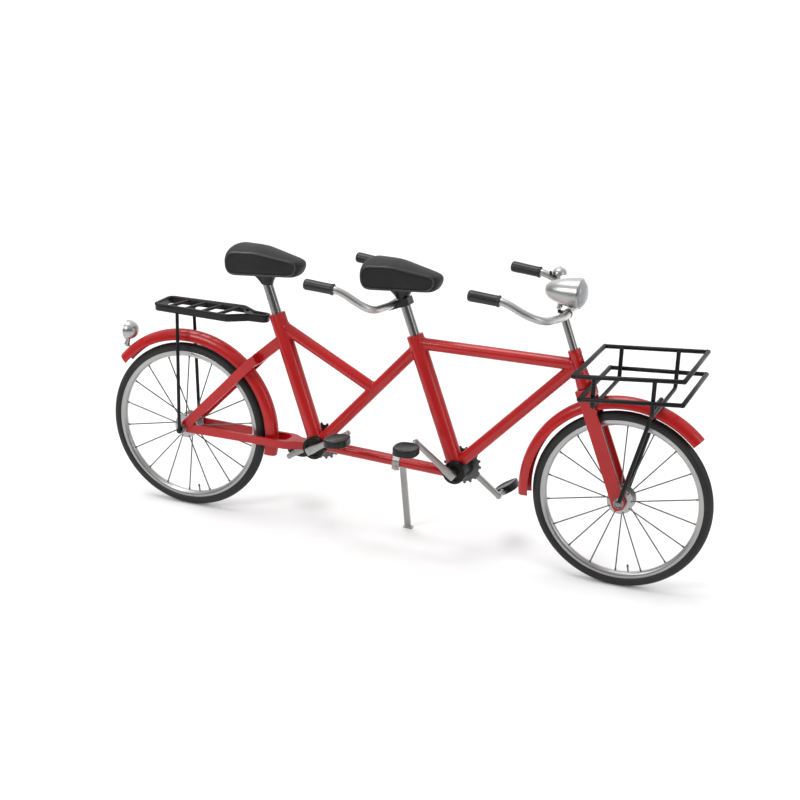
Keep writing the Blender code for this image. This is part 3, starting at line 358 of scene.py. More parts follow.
def frame_about(axis):
    """Two directions at right angles to an axis and to each other."""
    axis = Vector(axis).normalized()
    helper = Vector(ACROSS) if abs(axis.y) < 0.9 else Vector(UPWARD)
    first = axis.cross(helper).normalized()
    return first, axis.cross(first).normalized()


def bridge(first, second, count, closed=True):
    """Faces between two rings of vertices, given the index where each ring starts."""
    faces = []
    for index in range(count if closed else count - 1):
        after = (index + 1) % count
        faces.append((first + index, first + after, second + after, second + index))
    return faces


def ring_face(first, count):
    """One face that fills a ring of vertices."""
    return tuple(range(first, first + count))


def lathe(name, profile, centre, axis=ACROSS, steps=96, closed=False, start=0.0, end=2 * math.pi, zero=None,
          sharp_deg=35.0):
    """Turn (radius, along) points about an axis through centre, all round or part of the way."""
    axis = Vector(axis).normalized()
    first, second = frame_about(axis)
    if zero is not None:
        first = Vector(zero).normalized()
        second = axis.cross(first)
    whole = abs(end - start - 2 * math.pi) < 1e-6
    rings = steps if whole else steps + 1
    count = len(profile)
    verts = []
    for ring in range(rings):
        angle = start + (end - start) * ring / steps
        out = first * math.cos(angle) + second * math.sin(angle)
        verts += [Vector(centre) + out * radius + axis * along for radius, along in profile]
    faces = []
    for ring in range(steps):
        faces += bridge(ring * count, (ring + 1) % rings * count, count, closed)
    if not whole and closed:
        faces += [ring_face(0, count), ring_face((rings - 1) * count, count)]
    obj = mesh_object(name, verts, faces, sharp_deg)
    if not closed:
        weld(obj, sharp_deg)
    return obj


def weld(obj, sharp_deg):
    """Merge the vertices that a lathe leaves in one place on its axis."""
    work = bmesh.new()
    work.from_mesh(obj.data)
    bmesh.ops.remove_doubles(work, verts=work.verts, dist=SAME_PLACE)
    bmesh.ops.recalc_face_normals(work, faces=work.faces)
    work.to_mesh(obj.data)
    work.free()
    shade(obj.data, sharp_deg)


def arc(radius, start_deg, end_deg, steps):
    """Points of a circular arc about zero, as (across, up) pairs."""
    turns = [math.radians(start_deg + (end_deg - start_deg) * step / steps) for step in range(steps + 1)]
    return [(radius * math.cos(turn), radius * math.sin(turn)) for turn in turns]


def circle_section(radius, sides):
    """A round section for a sweep."""
    return arc(radius, 0.0, 360.0 - 360.0 / sides, sides - 1)


def sweep(name, points, section, cyclic=False, up=None, sharp_deg=35.0):
    """Carry a section along a route. Its frame turns with the route and never twists."""
    points = [Vector(point) for point in points]
    count = len(points)
    sides = len(section)
    verts = []
    normal = None
    for index, point in enumerate(points):
        before = points[index - 1] if index or cyclic else point
        after = points[(index + 1) % count] if index < count - 1 or cyclic else point
        tangent = (after - before).normalized()
        if up is not None:
            normal = tangent.cross(Vector(up)).normalized()
        elif normal is None:
            normal = frame_about(tangent)[0]
        else:
            normal = (normal - tangent * normal.dot(tangent)).normalized()
        binormal = normal.cross(tangent)
        verts += [point + normal * across + binormal * high for across, high in section]
    faces = []
    for ring in range(count if cyclic else count - 1):
        faces += bridge(ring * sides, (ring + 1) % count * sides, sides)
    if not cyclic:
        faces += [ring_face(0, sides), ring_face((count - 1) * sides, sides)]
    return mesh_object(name, verts, faces, sharp_deg)


def rod(name, start, end, radius, sides=24, end_radius=None, cap=0.0):
    """A straight round bar. A cap length rounds both ends off."""
    start, end = Vector(start), Vector(end)
    axis = end - start
    length = axis.length
    last = radius if end_radius is None else end_radius
    if cap > 0.0:
        steps = 5
        turns = [math.pi / 2 * step / steps for step in range(steps + 1)]
        profile = [(radius * math.sin(turn), cap * (1 - math.cos(turn))) for turn in turns]
        profile += [(last * math.cos(turn), length - cap + cap * math.sin(turn)) for turn in turns]
    else:
        profile = [(0.0, 0.0), (radius, 0.0), (last, length), (0.0, length)]
    return lathe(name, profile, start, axis, steps=sides)


def cross_rod(name, centre, reach, radius, sides=24, cap=0.0):
    """A bar across the bicycle, with the same reach to each side of its centre."""
    out = Vector((0.0, reach, 0.0))
    return rod(name, Vector(centre) - out, Vector(centre) + out, radius, sides, cap=cap)


def rounded_corner(before, corner, after, radius, limit, steps):
    """The curve in place of one corner, no longer than a share of either neighbouring side."""
    inward = (before - corner).normalized()
    outward = (after - corner).normalized()
    half = inward.angle(outward) / 2
    reach = min(radius / math.tan(half), (before - corner).length * limit, (after - corner).length * limit)
    first = corner + inward * reach
    last = corner + outward * reach
    shares = [step / steps for step in range(steps + 1)]
    return [first * (1 - t) ** 2 + corner * 2 * t * (1 - t) + last * t**2 for t in shares]


def rounded_route(corners, radius, steps=10, cyclic=False):
    """Round each corner of a route, as a bender would."""
    corners = [Vector(corner) for corner in corners]
    count = len(corners)
    points = []
    for index, corner in enumerate(corners):
        if not cyclic and index in (0, count - 1):
            points.append(corner)
        else:
            after = corners[(index + 1) % count]
            points += rounded_corner(corners[index - 1], corner, after, radius, 0.49, steps)
    return points


def eased(path, step=0.004, reach=6):
    """A route at even steps with its bends drawn out, its two ends left where they are."""
    lengths = [0.0]
    for before, after in zip(path, path[1:]):
        lengths.append(lengths[-1] + (after - before).length)
    count = int(lengths[-1] / step)
    at = np.linspace(0.0, lengths[-1], count + 1)
    even = np.array([np.interp(at, lengths, [point[axis] for point in path]) for axis in range(3)]).T
    drawn = even.copy()
    for index in range(1, count):
        near = min(reach, index, count - index)
        drawn[index] = even[index - near : index + near + 1].mean(0)
    return [Vector(point) for point in drawn]


def softened(node, name, width, segments=3):
    """A CAD node's own shape with its edges rounded over."""
    work = bmesh.new()
    work.from_mesh(frame["nodes"][node].data)
    work.transform(TO_UPRIGHT)
    bmesh.ops.remove_doubles(work, verts=work.verts, dist=SAME_PLACE)
    bmesh.ops.dissolve_limit(work, angle_limit=math.radians(1.0), verts=work.verts, edges=work.edges)
    bmesh.ops.recalc_face_normals(work, faces=work.faces)
    mesh = bpy.data.meshes.new(name)
    work.to_mesh(mesh)
    work.free()
    obj = linked(name, mesh)
    bevel = obj.modifiers.new("edges", "BEVEL")
    bevel.width = width
    bevel.segments = segments
    bevel.limit_method = "ANGLE"
    bevel.angle_limit = math.radians(40.0)
    bevel.use_clamp_overlap = True
    bevel.harden_normals = True
    shade(mesh, 55.0)
    return obj


# ---------------------------------------------------------------- frame tubes
TUBE_RUN_ON = 0.006
WELD_BEAD_R = 0.0032
WELD_STEPS = 48


def weld_bead(host, guest_start, guest_end, guest_radius, at_end):
    """A ring of weld along the line where a guest tube's surface enters a host tube."""
    host_start, host_end, host_radius_a, host_radius_b = host
    host_axis = (host_end - host_start).normalized()
    far, near = (guest_start, guest_end) if at_end else (guest_end, guest_start)
    axis = (near - far).normalized()
    first, second = frame_about(axis)
    share = (near - host_start).dot(host_axis) / (host_end - host_start).length
    share = min(1.0, max(0.0, share))
    host_radius = host_radius_a + (host_radius_b - host_radius_a) * share
    flat_axis = axis - host_axis * axis.dot(host_axis)
    a = flat_axis.dot(flat_axis)
    points = []
    for step in range(WELD_STEPS):
        angle = 2 * math.pi * step / WELD_STEPS
        base = far + (first * math.cos(angle) + second * math.sin(angle)) * guest_radius
        offset = base - host_start
        flat_offset = offset - host_axis * offset.dot(host_axis)
        b = 2 * flat_offset.dot(flat_axis)
        c = flat_offset.dot(flat_offset) - host_radius**2
        root = max(0.0, b * b - 4 * a * c)
        points.append(base + axis * ((-b - math.sqrt(root)) / (2 * a)))
    return sweep("weld", points, circle_section(WELD_BEAD_R, 10), cyclic=True)


def red_tube(node, rear_hosts, front_hosts, ahead):
    """One smooth frame tube with a bead of weld at each neighbour that it runs into."""
    start, end, radius, _ = centreline(node)
    run_on = (end - start).normalized() * TUBE_RUN_ON
    pieces = [rod("tube", start - run_on, end + run_on, radius, 48)]
    starts_ahead = (start - ahead).length < (end - ahead).length
    at_start, at_end = (front_hosts, rear_hosts) if starts_ahead else (rear_hosts, front_hosts)
    pieces += [weld_bead(centreline(host), start, end, radius, False) for host in at_start]
    pieces += [weld_bead(centreline(host), start, end, radius, True) for host in at_end]
    fit_out(join("tube_" + node, pieces), "frame", RED, "red_paint", node)


def frame_tubes():
    """The five plain tubes, each with the neighbours behind and ahead that it is welded to."""
    head = centreline("head_tube")
    ahead = (head[0] + head[1]) / 2
    red_tube("top_tube", ["captain_seat_tube"], ["head_tube"], ahead)
    red_tube("down_tube", [], ["head_tube"], ahead)
    red_tube("diagonal_tube", ["stoker_seat_tube"], ["captain_seat_tube"], ahead)
    red_tube("stoker_top_tube", ["stoker_seat_tube"], ["diagonal_tube"], ahead)
    red_tube("boom_tube", [], [], ahead)


def seat_tube(rider):
    """A seat tube with a thin wall showing at its mouth."""
    node = rider + "_seat_tube"
    start, end, radius = rising(node)
    post_radius = centreline(rider + "_seatpost")[2]
    length = (end - start).length
    lip = 0.0018
    profile = [
        (radius, -0.010), (radius, length - lip), (radius - lip * 0.4, length - lip * 0.3),
        (radius - lip, length), (post_radius + 0.0016, length),
        (post_radius + 0.0009, length - lip * 0.5), (post_radius + 0.0009, length - 0.030),
    ]
    tube = lathe("tube_" + node, profile, start, end - start, steps=64)
    fit_out(tube, "frame", RED, "red_paint", node)


def head_tube():
    """Collared at the top, waisted, and flared out to the crown."""
    start, end, _ = rising("head_tube")
    length = (end - start).length
    profile = [
        (0.0165, 0.0), (0.0290, 0.0), (0.0306, 0.0016), (0.0308, 0.0120), (0.0298, 0.0260), (0.0276, 0.0480),
        (0.0254, 0.0750), (0.0242, 0.1050), (0.0238, length - 0.0260), (0.0244, length - 0.0230),
        (0.0250, length - 0.0200), (0.0250, length - 0.0030), (0.0240, length), (0.0165, length),
    ]
    tube = lathe("head_tube_flared", profile, start, end - start, steps=64, closed=True)
    fit_out(tube, "frame", RED, "red_paint", "head_tube")


def bottom_bracket(rider, centre):
    """A black drum whose near face has a stepped, recessed cup."""
    low, high = span(rider + "_bb_shell")
    half = (high.y - low.y) / 2
    radius = (high.z - low.z) / 2
    face = [(0.0125, half - 0.007), (0.0290, half - 0.007), (0.0305, half - 0.0015), (0.0330, half),
            (radius - 0.004, half), (radius - 0.0012, half - 0.0012), (radius, half - 0.0045)]
    profile = [(r, -y) for r, y in face] + face[::-1]
    drum = lathe("drum_" + rider, profile, centre, closed=True, steps=72, sharp_deg=28.0)
    fit_out(drum, "frame", BLACK_PAINT, "black_paint", rider + "_bb_shell")


frame_tubes()
seat_tube("captain")
seat_tube("stoker")
head_tube()
bottom_bracket("captain", CAPTAIN_BB)
bottom_bracket("stoker", STOKER_BB)
fit_out(softened("chainstays", "stay_yoke", 0.0035), "frame", RED, "red_paint", "chainstays")
fit_out(softened("seatstays", "stay_upper", 0.0030), "frame", RED, "red_paint", "seatstays")


# ---------------------------------------------------------------- mudguards
GUARD_EDGE_R = 0.3610
GUARD_CROWN = 0.0415
GUARD_HALF_WIDTH = 0.0305
GUARD_SHEET = 0.0026


def guard_profile():
    """The crowned sheet's closed section, with a rolled edge down each side."""
    outer, inner = [], []
    for step in range(25):
        turn = math.pi * step / 24
        rise = GUARD_CROWN * math.sin(turn) ** 0.8
        across = -GUARD_HALF_WIDTH * math.cos(turn)
        outer.append((GUARD_EDGE_R + rise, across))
        within = GUARD_EDGE_R + rise - GUARD_SHEET * math.sin(turn)
        inner.append((within, across * (1 - GUARD_SHEET / 0.03)))
    return outer + list(reversed(inner))


def mudguard(node, axle, start_deg, end_deg, body):
    """A curved sheet between two angles above the horizontal, with a bead along each edge."""
    sections = [("sheet", guard_profile(), 40.0)]
    for side in (-1, 1):
        bead_y = side * (GUARD_HALF_WIDTH - 0.0012)
        bead = [(GUARD_EDGE_R + 0.0006 + across, bead_y + high) for across, high in circle_section(0.0022, 8)]
        sections.append(("edge", bead, 60.0))
    pieces = [
        lathe(name, section, axle, (0.0, -1.0, 0.0), steps=110, closed=True, start=math.radians(start_deg),
              end=math.radians(end_deg), zero=FORWARD, sharp_deg=sharp_deg)
        for name, section, sharp_deg in sections
    ]
    fit_out(join("guard_" + node, pieces), body, RED, "red_paint", node)


mudguard("rear_mudguard", REAR_AXLE, -10.0, 141.0, "frame")
mudguard("front_mudguard", FRONT_AXLE, 45.0, 186.5, "steering")


# ---------------------------------------------------------------- wheels
SPOKES = 18
HUB_FLANGE_R = 0.051
RIM_INNER_R = 0.292


def mirrored(half):
    """A closed profile from its half at positive 'along', run from outside to the middle."""
    return half + [(radius, -along) for radius, along in reversed(half)]


def tyre(node, axle, body):
    """Three-grooved tread, rounded shoulders and a moulded line on each sidewall."""
    depths = [
        (0.0012, 0.0008), (0.0002, 0.0016), (0.0004, 0.0050), (0.0016, 0.0056), (0.0017, 0.0066),
        (0.0010, 0.0072), (0.0028, 0.0106), (0.0062, 0.0146), (0.0096, 0.0172), (0.0108, 0.0170),
        (0.0122, 0.0184), (0.0165, 0.0198), (0.0200, 0.0200), (0.0245, 0.0196), (0.0256, 0.0188),
        (0.0270, 0.0189), (0.0305, 0.0172), (0.0330, 0.0152), (0.0338, 0.0120),
    ]
    half = [(WHEEL_R - depth, along) for depth, along in depths]
    ring = lathe("tyre_" + node, mirrored(half), axle, steps=144, closed=True, sharp_deg=28.0)
    fit_out(ring, body, TYRE, "tyre_rubber", node)


def rim_profile():
    """A deep rim with rolled edges and a line pressed into each side."""
    return mirrored([
        (0.3140, 0.0020), (0.3150, 0.0100), (0.3140, 0.0138), (0.3128, 0.0152), (0.3112, 0.0158),
        (0.3096, 0.0154), (0.3060, 0.0156), (0.3015, 0.0150), (0.2970, 0.0132), (0.2946, 0.0112),
        (0.2938, 0.0100), (0.2930, 0.0102), (0.2918, 0.0088), (0.2900, 0.0060),
        (RIM_INNER_R - 0.0026, 0.0020),
    ])


def hub_profile(flange_y, left_boss_r):
    """Spool hub with thick rounded flanges; the left boss carries the rear sprocket."""
    right = [
        (0.0063, -flange_y - 0.0020), (0.0150, -flange_y - 0.0020), (0.0160, -flange_y - 0.0012),
        (HUB_FLANGE_R - 0.006, -flange_y - 0.0020), (HUB_FLANGE_R - 0.0012, -flange_y - 0.0016),
        (HUB_FLANGE_R, -flange_y), (HUB_FLANGE_R - 0.0012, -flange_y + 0.0020), (0.0280, -flange_y + 0.0036),
        (0.0200, -flange_y + 0.0080), (0.0180, -flange_y + 0.0150),
    ]
    left = [(radius, -along) for radius, along in reversed(right)]
    if left_boss_r:
        boss_y = flange_y + 0.0085
        left = left[:-2] + [(left_boss_r, flange_y + 0.0022), (left_boss_r, boss_y), (0.0063, boss_y)]
    return right + left


def spoke(axle, index, flange_y):
    """A spoke with its bent head at the flange and its nipple at the rim."""
    angle = 2 * math.pi * (index + 0.5) / SPOKES
    side = 1 if index % 2 else -1
    out = Vector((math.cos(angle), 0.0, math.sin(angle)))
    root = axle + out * (HUB_FLANGE_R - 0.006) + Vector((0.0, side * (flange_y + 0.0010), 0.0))
    tip = axle + out * (RIM_INNER_R + 0.002) + Vector((0.0, side * 0.003, 0.0))
    run = (tip - root).normalized()
    return [
        rod("spoke", root, tip, 0.0026, 10),
        rod("nipple", tip - run * 0.013, tip, 0.0036, 10, cap=0.0015),
        cross_rod("head", root, 0.0035, 0.0034, 10, cap=0.0015),
    ]


def valve(axle):
    """The tube's valve stem and its knurled cap, standing in from the rim."""
    out = Vector((math.cos(math.radians(-80)), 0.0, math.sin(math.radians(-80))))
    foot = axle + out * (RIM_INNER_R + 0.001)
    return [
        rod("valve_stem", foot, foot - out * 0.022, 0.0030, 12),
        rod("valve_cap", foot - out * 0.020, foot - out * 0.032, 0.0042, 12, cap=0.002),
    ]


def wheel(node, axle, flange_y, left_boss_r, body):
    """Rim and hub in chrome, with the spokes and the valve as a second piece."""
    rim = lathe("rim_" + node, rim_profile(), axle, steps=144, closed=True, sharp_deg=30.0)
    hub = lathe("hub", hub_profile(flange_y, left_boss_r), axle, steps=72, closed=True, sharp_deg=30.0)
    fit_out(join("rim_hub_" + node, [rim, hub]), body, CHROME, "chrome", node)
    spokes = []
    for index in range(SPOKES):
        spokes += spoke(axle, index, flange_y)
    fit_out(join("spokes_" + node, spokes + valve(axle)), body, SPOKE_STEEL, "satin_steel")


def axle_set(node, axle, body):
    """Washer and domed nut on each end of an axle."""
    tip = span(node)[1].y - axle.y
    half = [
        (0.0060, 0.0), (0.0060, tip - 0.0140), (0.0200, tip - 0.0138), (0.0200, tip - 0.0110),
        (0.0188, tip - 0.0100), (0.0185, tip - 0.0055), (0.0172, tip - 0.0042), (0.0140, tip - 0.0050),
        (0.0125, tip - 0.0020), (0.0080, tip - 0.0002), (0.0, tip),
    ]
    profile = [(radius, -along) for radius, along in reversed(half)] + half[1:]
    ends = lathe("axle_" + node, profile, axle, steps=48, sharp_deg=28.0)
    fit_out(ends, body, POST_STEEL, "satin_steel", node)


tyre("front_tyre", FRONT_AXLE, "front_wheel_body")
tyre("rear_tyre", REAR_AXLE, "rear_wheel_body")
wheel("front_wheel", FRONT_AXLE, 0.026, 0.0, "front_wheel_body")
wheel("rear_wheel", REAR_AXLE, 0.028, 0.034, "rear_wheel_body")
axle_set("front_axle", FRONT_AXLE, "steering")
axle_set("rear_axle", REAR_AXLE, "frame")


# ---------------------------------------------------------------- fork, stem and handlebars
BAR_R = 0.0145


def handlebar(rider, body, route):
    """A swept-back bar from grip to grip, through the same bends as the solid."""
    front, rear, _ = rearward(rider + "_grip_left")
    ahead = (front - rear).normalized()
    left = [*(Vector(point) for point in reversed(route)), front + ahead * 0.025, front - ahead * 0.004]
    right = [Vector((point.x, -point.y, point.z)) for point in reversed(left)]
    path = eased(eased(rounded_route([*right, *left], 0.130, 14)))
    bar = sweep("bar_" + rider, path, circle_section(BAR_R, 28))
    fit_out(bar, body, CHROME, "chrome", rider + "_handlebar")


def grip(rider, side, body):
    """A waisted sleeve with a collar at its mouth and a rounded end."""
    node = rider + "_grip_" + side
    front, rear, radius = rearward(node)
    length = (rear - front).length
    profile = [
        (0.0150, 0.0), (radius - 0.0015, 0.0), (radius, 0.0012), (radius, 0.0070), (radius - 0.0016, 0.0085),
        (radius - 0.0020, 0.0120), (radius - 0.0018, length * 0.5), (radius - 0.0010, length - 0.0180),
    ]
    profile += [
        (radius - 0.0010 - 0.009 * (1 - math.cos(t)), length - 0.010 + 0.010 * math.sin(t))
        for t in np.linspace(0.0, math.pi / 2, 6)
    ]
    profile.append((0.0, length))
    sleeve = lathe("sleeve_" + node, profile, front, rear - front, steps=40, sharp_deg=50.0)
    fit_out(sleeve, body, GRIP, "grip_rubber", node)


def captain_stem():
    """Quill and bar clamp with its pinch bolt."""
    bar = vertices_of("captain_handlebar")
    bar_z = bar[abs(bar[:, 1]) < 0.08][:, 2].min() + BAR_R
    bar_at = Vector((bar[:, 0].max() - BAR_R, 0.0, bar_z))
    along = [(span(node)[1].z - STEER_AT.z) / STEER_DIR.z for node in ("head_tube", "captain_stem")]
    base = STEER_AT + STEER_DIR * (along[0] - 0.030)
    quill_top = STEER_AT + STEER_DIR * (along[1] - 0.020)
    clamp = [(0.0148, -0.0220), (0.0174, -0.0220), (0.0185, -0.0205), (0.0185, 0.0205), (0.0174, 0.0220),
             (0.0148, 0.0220)]
    pieces = [
        rod("quill", base, quill_top, 0.0160, 40, cap=0.003),
        lathe("clamp", clamp, bar_at, steps=48, closed=True),
        cross_rod("pinch_bolt", bar_at + Vector((-0.0215, 0.0, -0.0110)), 0.0130, 0.0048, 12, cap=0.0015),
    ]
    fit_out(join("stem_quill", pieces), "steering", POST_STEEL, "satin_steel", "captain_stem")


fit_out(softened("fork", "fork_shaped", 0.0035), "steering", RED, "red_paint", "fork")
CAPTAIN_ROUTE = [(0.5600, 0.2560, 1.0680), (0.6250, 0.2200, 1.0420), (0.6549, 0.0700, 1.0310)]
STOKER_ROUTE = [(-0.0950, 0.2300, 1.0200), (-0.0420, 0.2050, 0.9880), (-0.0301, 0.0650, 0.9780)]
handlebar("captain", "steering", CAPTAIN_ROUTE)
handlebar("stoker", "captain_seat", STOKER_ROUTE)
for grip_side in ("left", "right"):
    grip("captain", grip_side, "steering")
    grip("stoker", grip_side, "captain_seat")
captain_stem()


# ---------------------------------------------------------------- headlamp and bell


def headlamp():
    """Bullet shell with a rolled rim, fluted lens, pivot ears and a clamp bolt."""
    low, high = span("headlamp_lens")
    centre = Vector((low.x, 0.0, (low.z + high.z) / 2))
    radius = (high.z - low.z) / 2 + 0.0065
    length = centre.x - span("headlamp_housing")[0].x
    girth = [(0.0, -1.0), (0.17, -0.996), (0.30, -0.973), (0.445, -0.914), (0.571, -0.836), (0.697, -0.703),
             (0.798, -0.547), (0.874, -0.375), (0.927, -0.203), (0.966, -0.094), (0.983, -0.050)]
    shell = [(radius * wide, length * back) for wide, back in girth]
    shell += [(radius - 0.0006, -0.0050), (radius - 0.0004, -0.0010), (radius - 0.0014, 0.0020),
              (radius - 0.0040, 0.0022), (radius - 0.0060, 0.0), (radius - 0.0070, -0.0030)]
    pieces = [lathe("bullet", shell, centre, FORWARD, steps=72, sharp_deg=40.0)]
    pivot = upright(joint_at("headlamp_tilt"))
    for side in (-1, 1):
        inner, strap, bolt, tip = [
            pivot + Vector((0.0, side * reach, 0.0)) for reach in (0.0095, 0.0113, 0.0120, 0.0165)
        ]
        outer = pivot + Vector((0.0, side * 0.0132, 0.0))
        pieces.append(rod("ear", inner, outer, 0.0085, 28, cap=0.0008))
        pieces.append(rod("ear_strap", strap, pivot + Vector((0.0, side * 0.0113, 0.0150)), 0.0055, 16))
        pieces.append(rod("ear_bolt", bolt, tip, 0.0050, 6, cap=0.0010))
    fit_out(join("lamp_shell", pieces), "headlamp", CHROME, "chrome", "headlamp_housing")
    turns = np.linspace(0.0, math.pi / 2, 16)
    dome = [((radius - 0.0065) * math.sin(turn), -0.004 + 0.0300 * math.cos(turn)) for turn in turns]
    lens = lathe("lamp_lens", dome, centre, FORWARD, steps=72)
    fit_out(lens, "headlamp", CLEAR_LENS, "clear_lens", "headlamp_lens")
    bracket = softened("headlamp_bracket", "lamp_bracket", 0.0012, 2)
    fit_out(bracket, "steering", BLACK_PAINT, "black_paint", "headlamp_bracket")


def bell():
    """A spun dome with a rolled lip and a crown nut, over its clamp band round the bar."""
    low, high = span("bell")
    centre = Vector(((low.x + high.x) / 2, (low.y + high.y) / 2, low.z))
    height = high.z - low.z
    radius = (high.x - low.x) / 2
    lip = 0.0057
    turns = np.linspace(0.16, 1.5, 14)
    dome = [(radius * math.sin(turn), lip + (height - lip - 0.003) * math.cos(turn)) for turn in turns]
    profile = [(0.0, height), (0.0035, height - 0.0005), (0.0042, height - 0.0025), *dome,
               (radius, lip + 0.0010), (radius - 0.0010, lip), (radius - 0.0022, lip + 0.0010),
               (0.0098, lip + 0.0020), (0.0098, 0.0), (0.0, 0.0)]
    shell = lathe("dome", profile, centre, UPWARD, steps=56, sharp_deg=40.0)
    foot = (centre.x - 0.006, centre.y, centre.z - 0.0220)
    band = rod("band", foot, (centre.x - 0.003, centre.y, centre.z + 0.0006), 0.0088, 24)
    fit_out(join("bell_dome", [shell, band]), "steering", CHROME, "chrome", "bell")
    lever = softened("bell_lever", "bell_thumb", 0.0006, 2)
    fit_out(lever, "bell_lever_body", BLACK_PLASTIC, "black_plastic", "bell_lever")


headlamp()
bell()


# ---------------------------------------------------------------- basket
ROD_R = 0.0088


def basket_level(node):
    """A thick rear bar with domed ends, two side rails past it, and a front bar between them."""
    low, high = span(node)
    points = vertices_of(node)
    ahead = points[points[:, 0] > high.x - 0.02]
    rear_x, rear_y = low.x + ROD_R, high.y - ROD_R
    rear_z = points[points[:, 0] < low.x + 0.02][:, 2].mean()
    front_x, front_y, front_z = high.x - ROD_R, ahead[:, 1].max() - ROD_R, ahead[:, 2].mean()
    slope = (front_z - rear_z) / (front_x - rear_x)
    pieces = [
        cross_rod("rear_bar", (rear_x, 0.0, rear_z), rear_y + 0.0050, 0.0094, cap=0.004),
        cross_rod("front_bar", (front_x, 0.0, front_z), front_y + 0.004, ROD_R, cap=0.002),
    ]
    bead = [(0.0, -0.0088), (0.0060, -0.0075), (0.0098, 0.0), (0.0060, 0.0075), (0.0, 0.0088)]
    for side in (-1, 1):
        rear = (rear_x, side * rear_y, rear_z)
        tip = (front_x + 0.004, side * front_y, front_z + slope * 0.004)
        pieces.append(rod("rail", rear, tip, ROD_R * 0.94, cap=0.002))
        for at in ((rear_x + 0.004, side * rear_y, rear_z), (front_x - 0.004, side * front_y, front_z)):
            pieces.append(lathe("weld", bead, at, FORWARD, steps=20))
    fit_out(join("basket_" + node, pieces), "steering", BLACK_PAINT, "black_paint", node)


def basket_hoop(node):
    """A bent hanger: two uprights and the rod that crosses below them."""
    low, high = span(node)
    x = (low.x + high.x) / 2
    bottom = low.z + ROD_R
    half = high.y - ROD_R
    corners = [(x, -half, high.z), (x, -half, bottom), (x, half, bottom), (x, half, high.z)]
    hoop = sweep(node + "_rod", rounded_route(corners, 0.020, 8), circle_section(ROD_R * 0.92, 20))
    fit_out(hoop, "steering", BLACK_PAINT, "black_paint", node)


def basket_stay():
    """The long legs from the axle up to the front hanger, bent from one rod."""
    high = span("basket_stay")[1]
    radius = ROD_R * 0.9
    foot_x, foot_y, foot_z = FRONT_AXLE.x + 0.006, high.y - radius, WHEEL_R + 0.012
    points = vertices_of("basket_stay")
    top = points[points[:, 2] > high.z - 0.02]
    top_x = (top[:, 0].max() + top[:, 0].min()) / 2
    top_z = high.z - radius
    corners = [(foot_x, -foot_y, foot_z), (top_x, -0.0560, top_z), (top_x, 0.0560, top_z),
               (foot_x, foot_y, foot_z)]
    legs = sweep("basket_stay_legs", rounded_route(corners, 0.020, 8), circle_section(radius, 20))
    fit_out(legs, "steering", BLACK_PAINT, "black_paint", "basket_stay")


basket_level("basket_top_frame")
basket_level("basket_lower_frame")
basket_hoop("basket_hoop_rear")
basket_hoop("basket_hoop_front")
basket_stay()


# ---------------------------------------------------------------- saddles


def panel_outline(rear_x, nose_x, top_z, bottom_z, nose_drop, steps=10):
    """The saddle's side seen square on: tall at the back, low at the nose, all corners round."""
    height = top_z - bottom_z
    corners = [
        (rear_x + 0.010, bottom_z, height * 0.46),
        (rear_x, top_z - height * 0.01, height * 0.56),
        (rear_x + (nose_x - rear_x) * 0.40, top_z + height * 0.03, 0.200),
        (nose_x - 0.008, top_z - nose_drop, height * 0.52),
        (nose_x - 0.030, bottom_z + height * 0.10, height * 0.44),
    ]
    places = [Vector(corner[:2]) for corner in corners]
    points = []
    for index, (_, _, radius) in enumerate(corners):
        after = places[(index + 1) % len(corners)]
        points += rounded_corner(places[index - 1], places[index], after, radius, 0.48, steps)
    return points


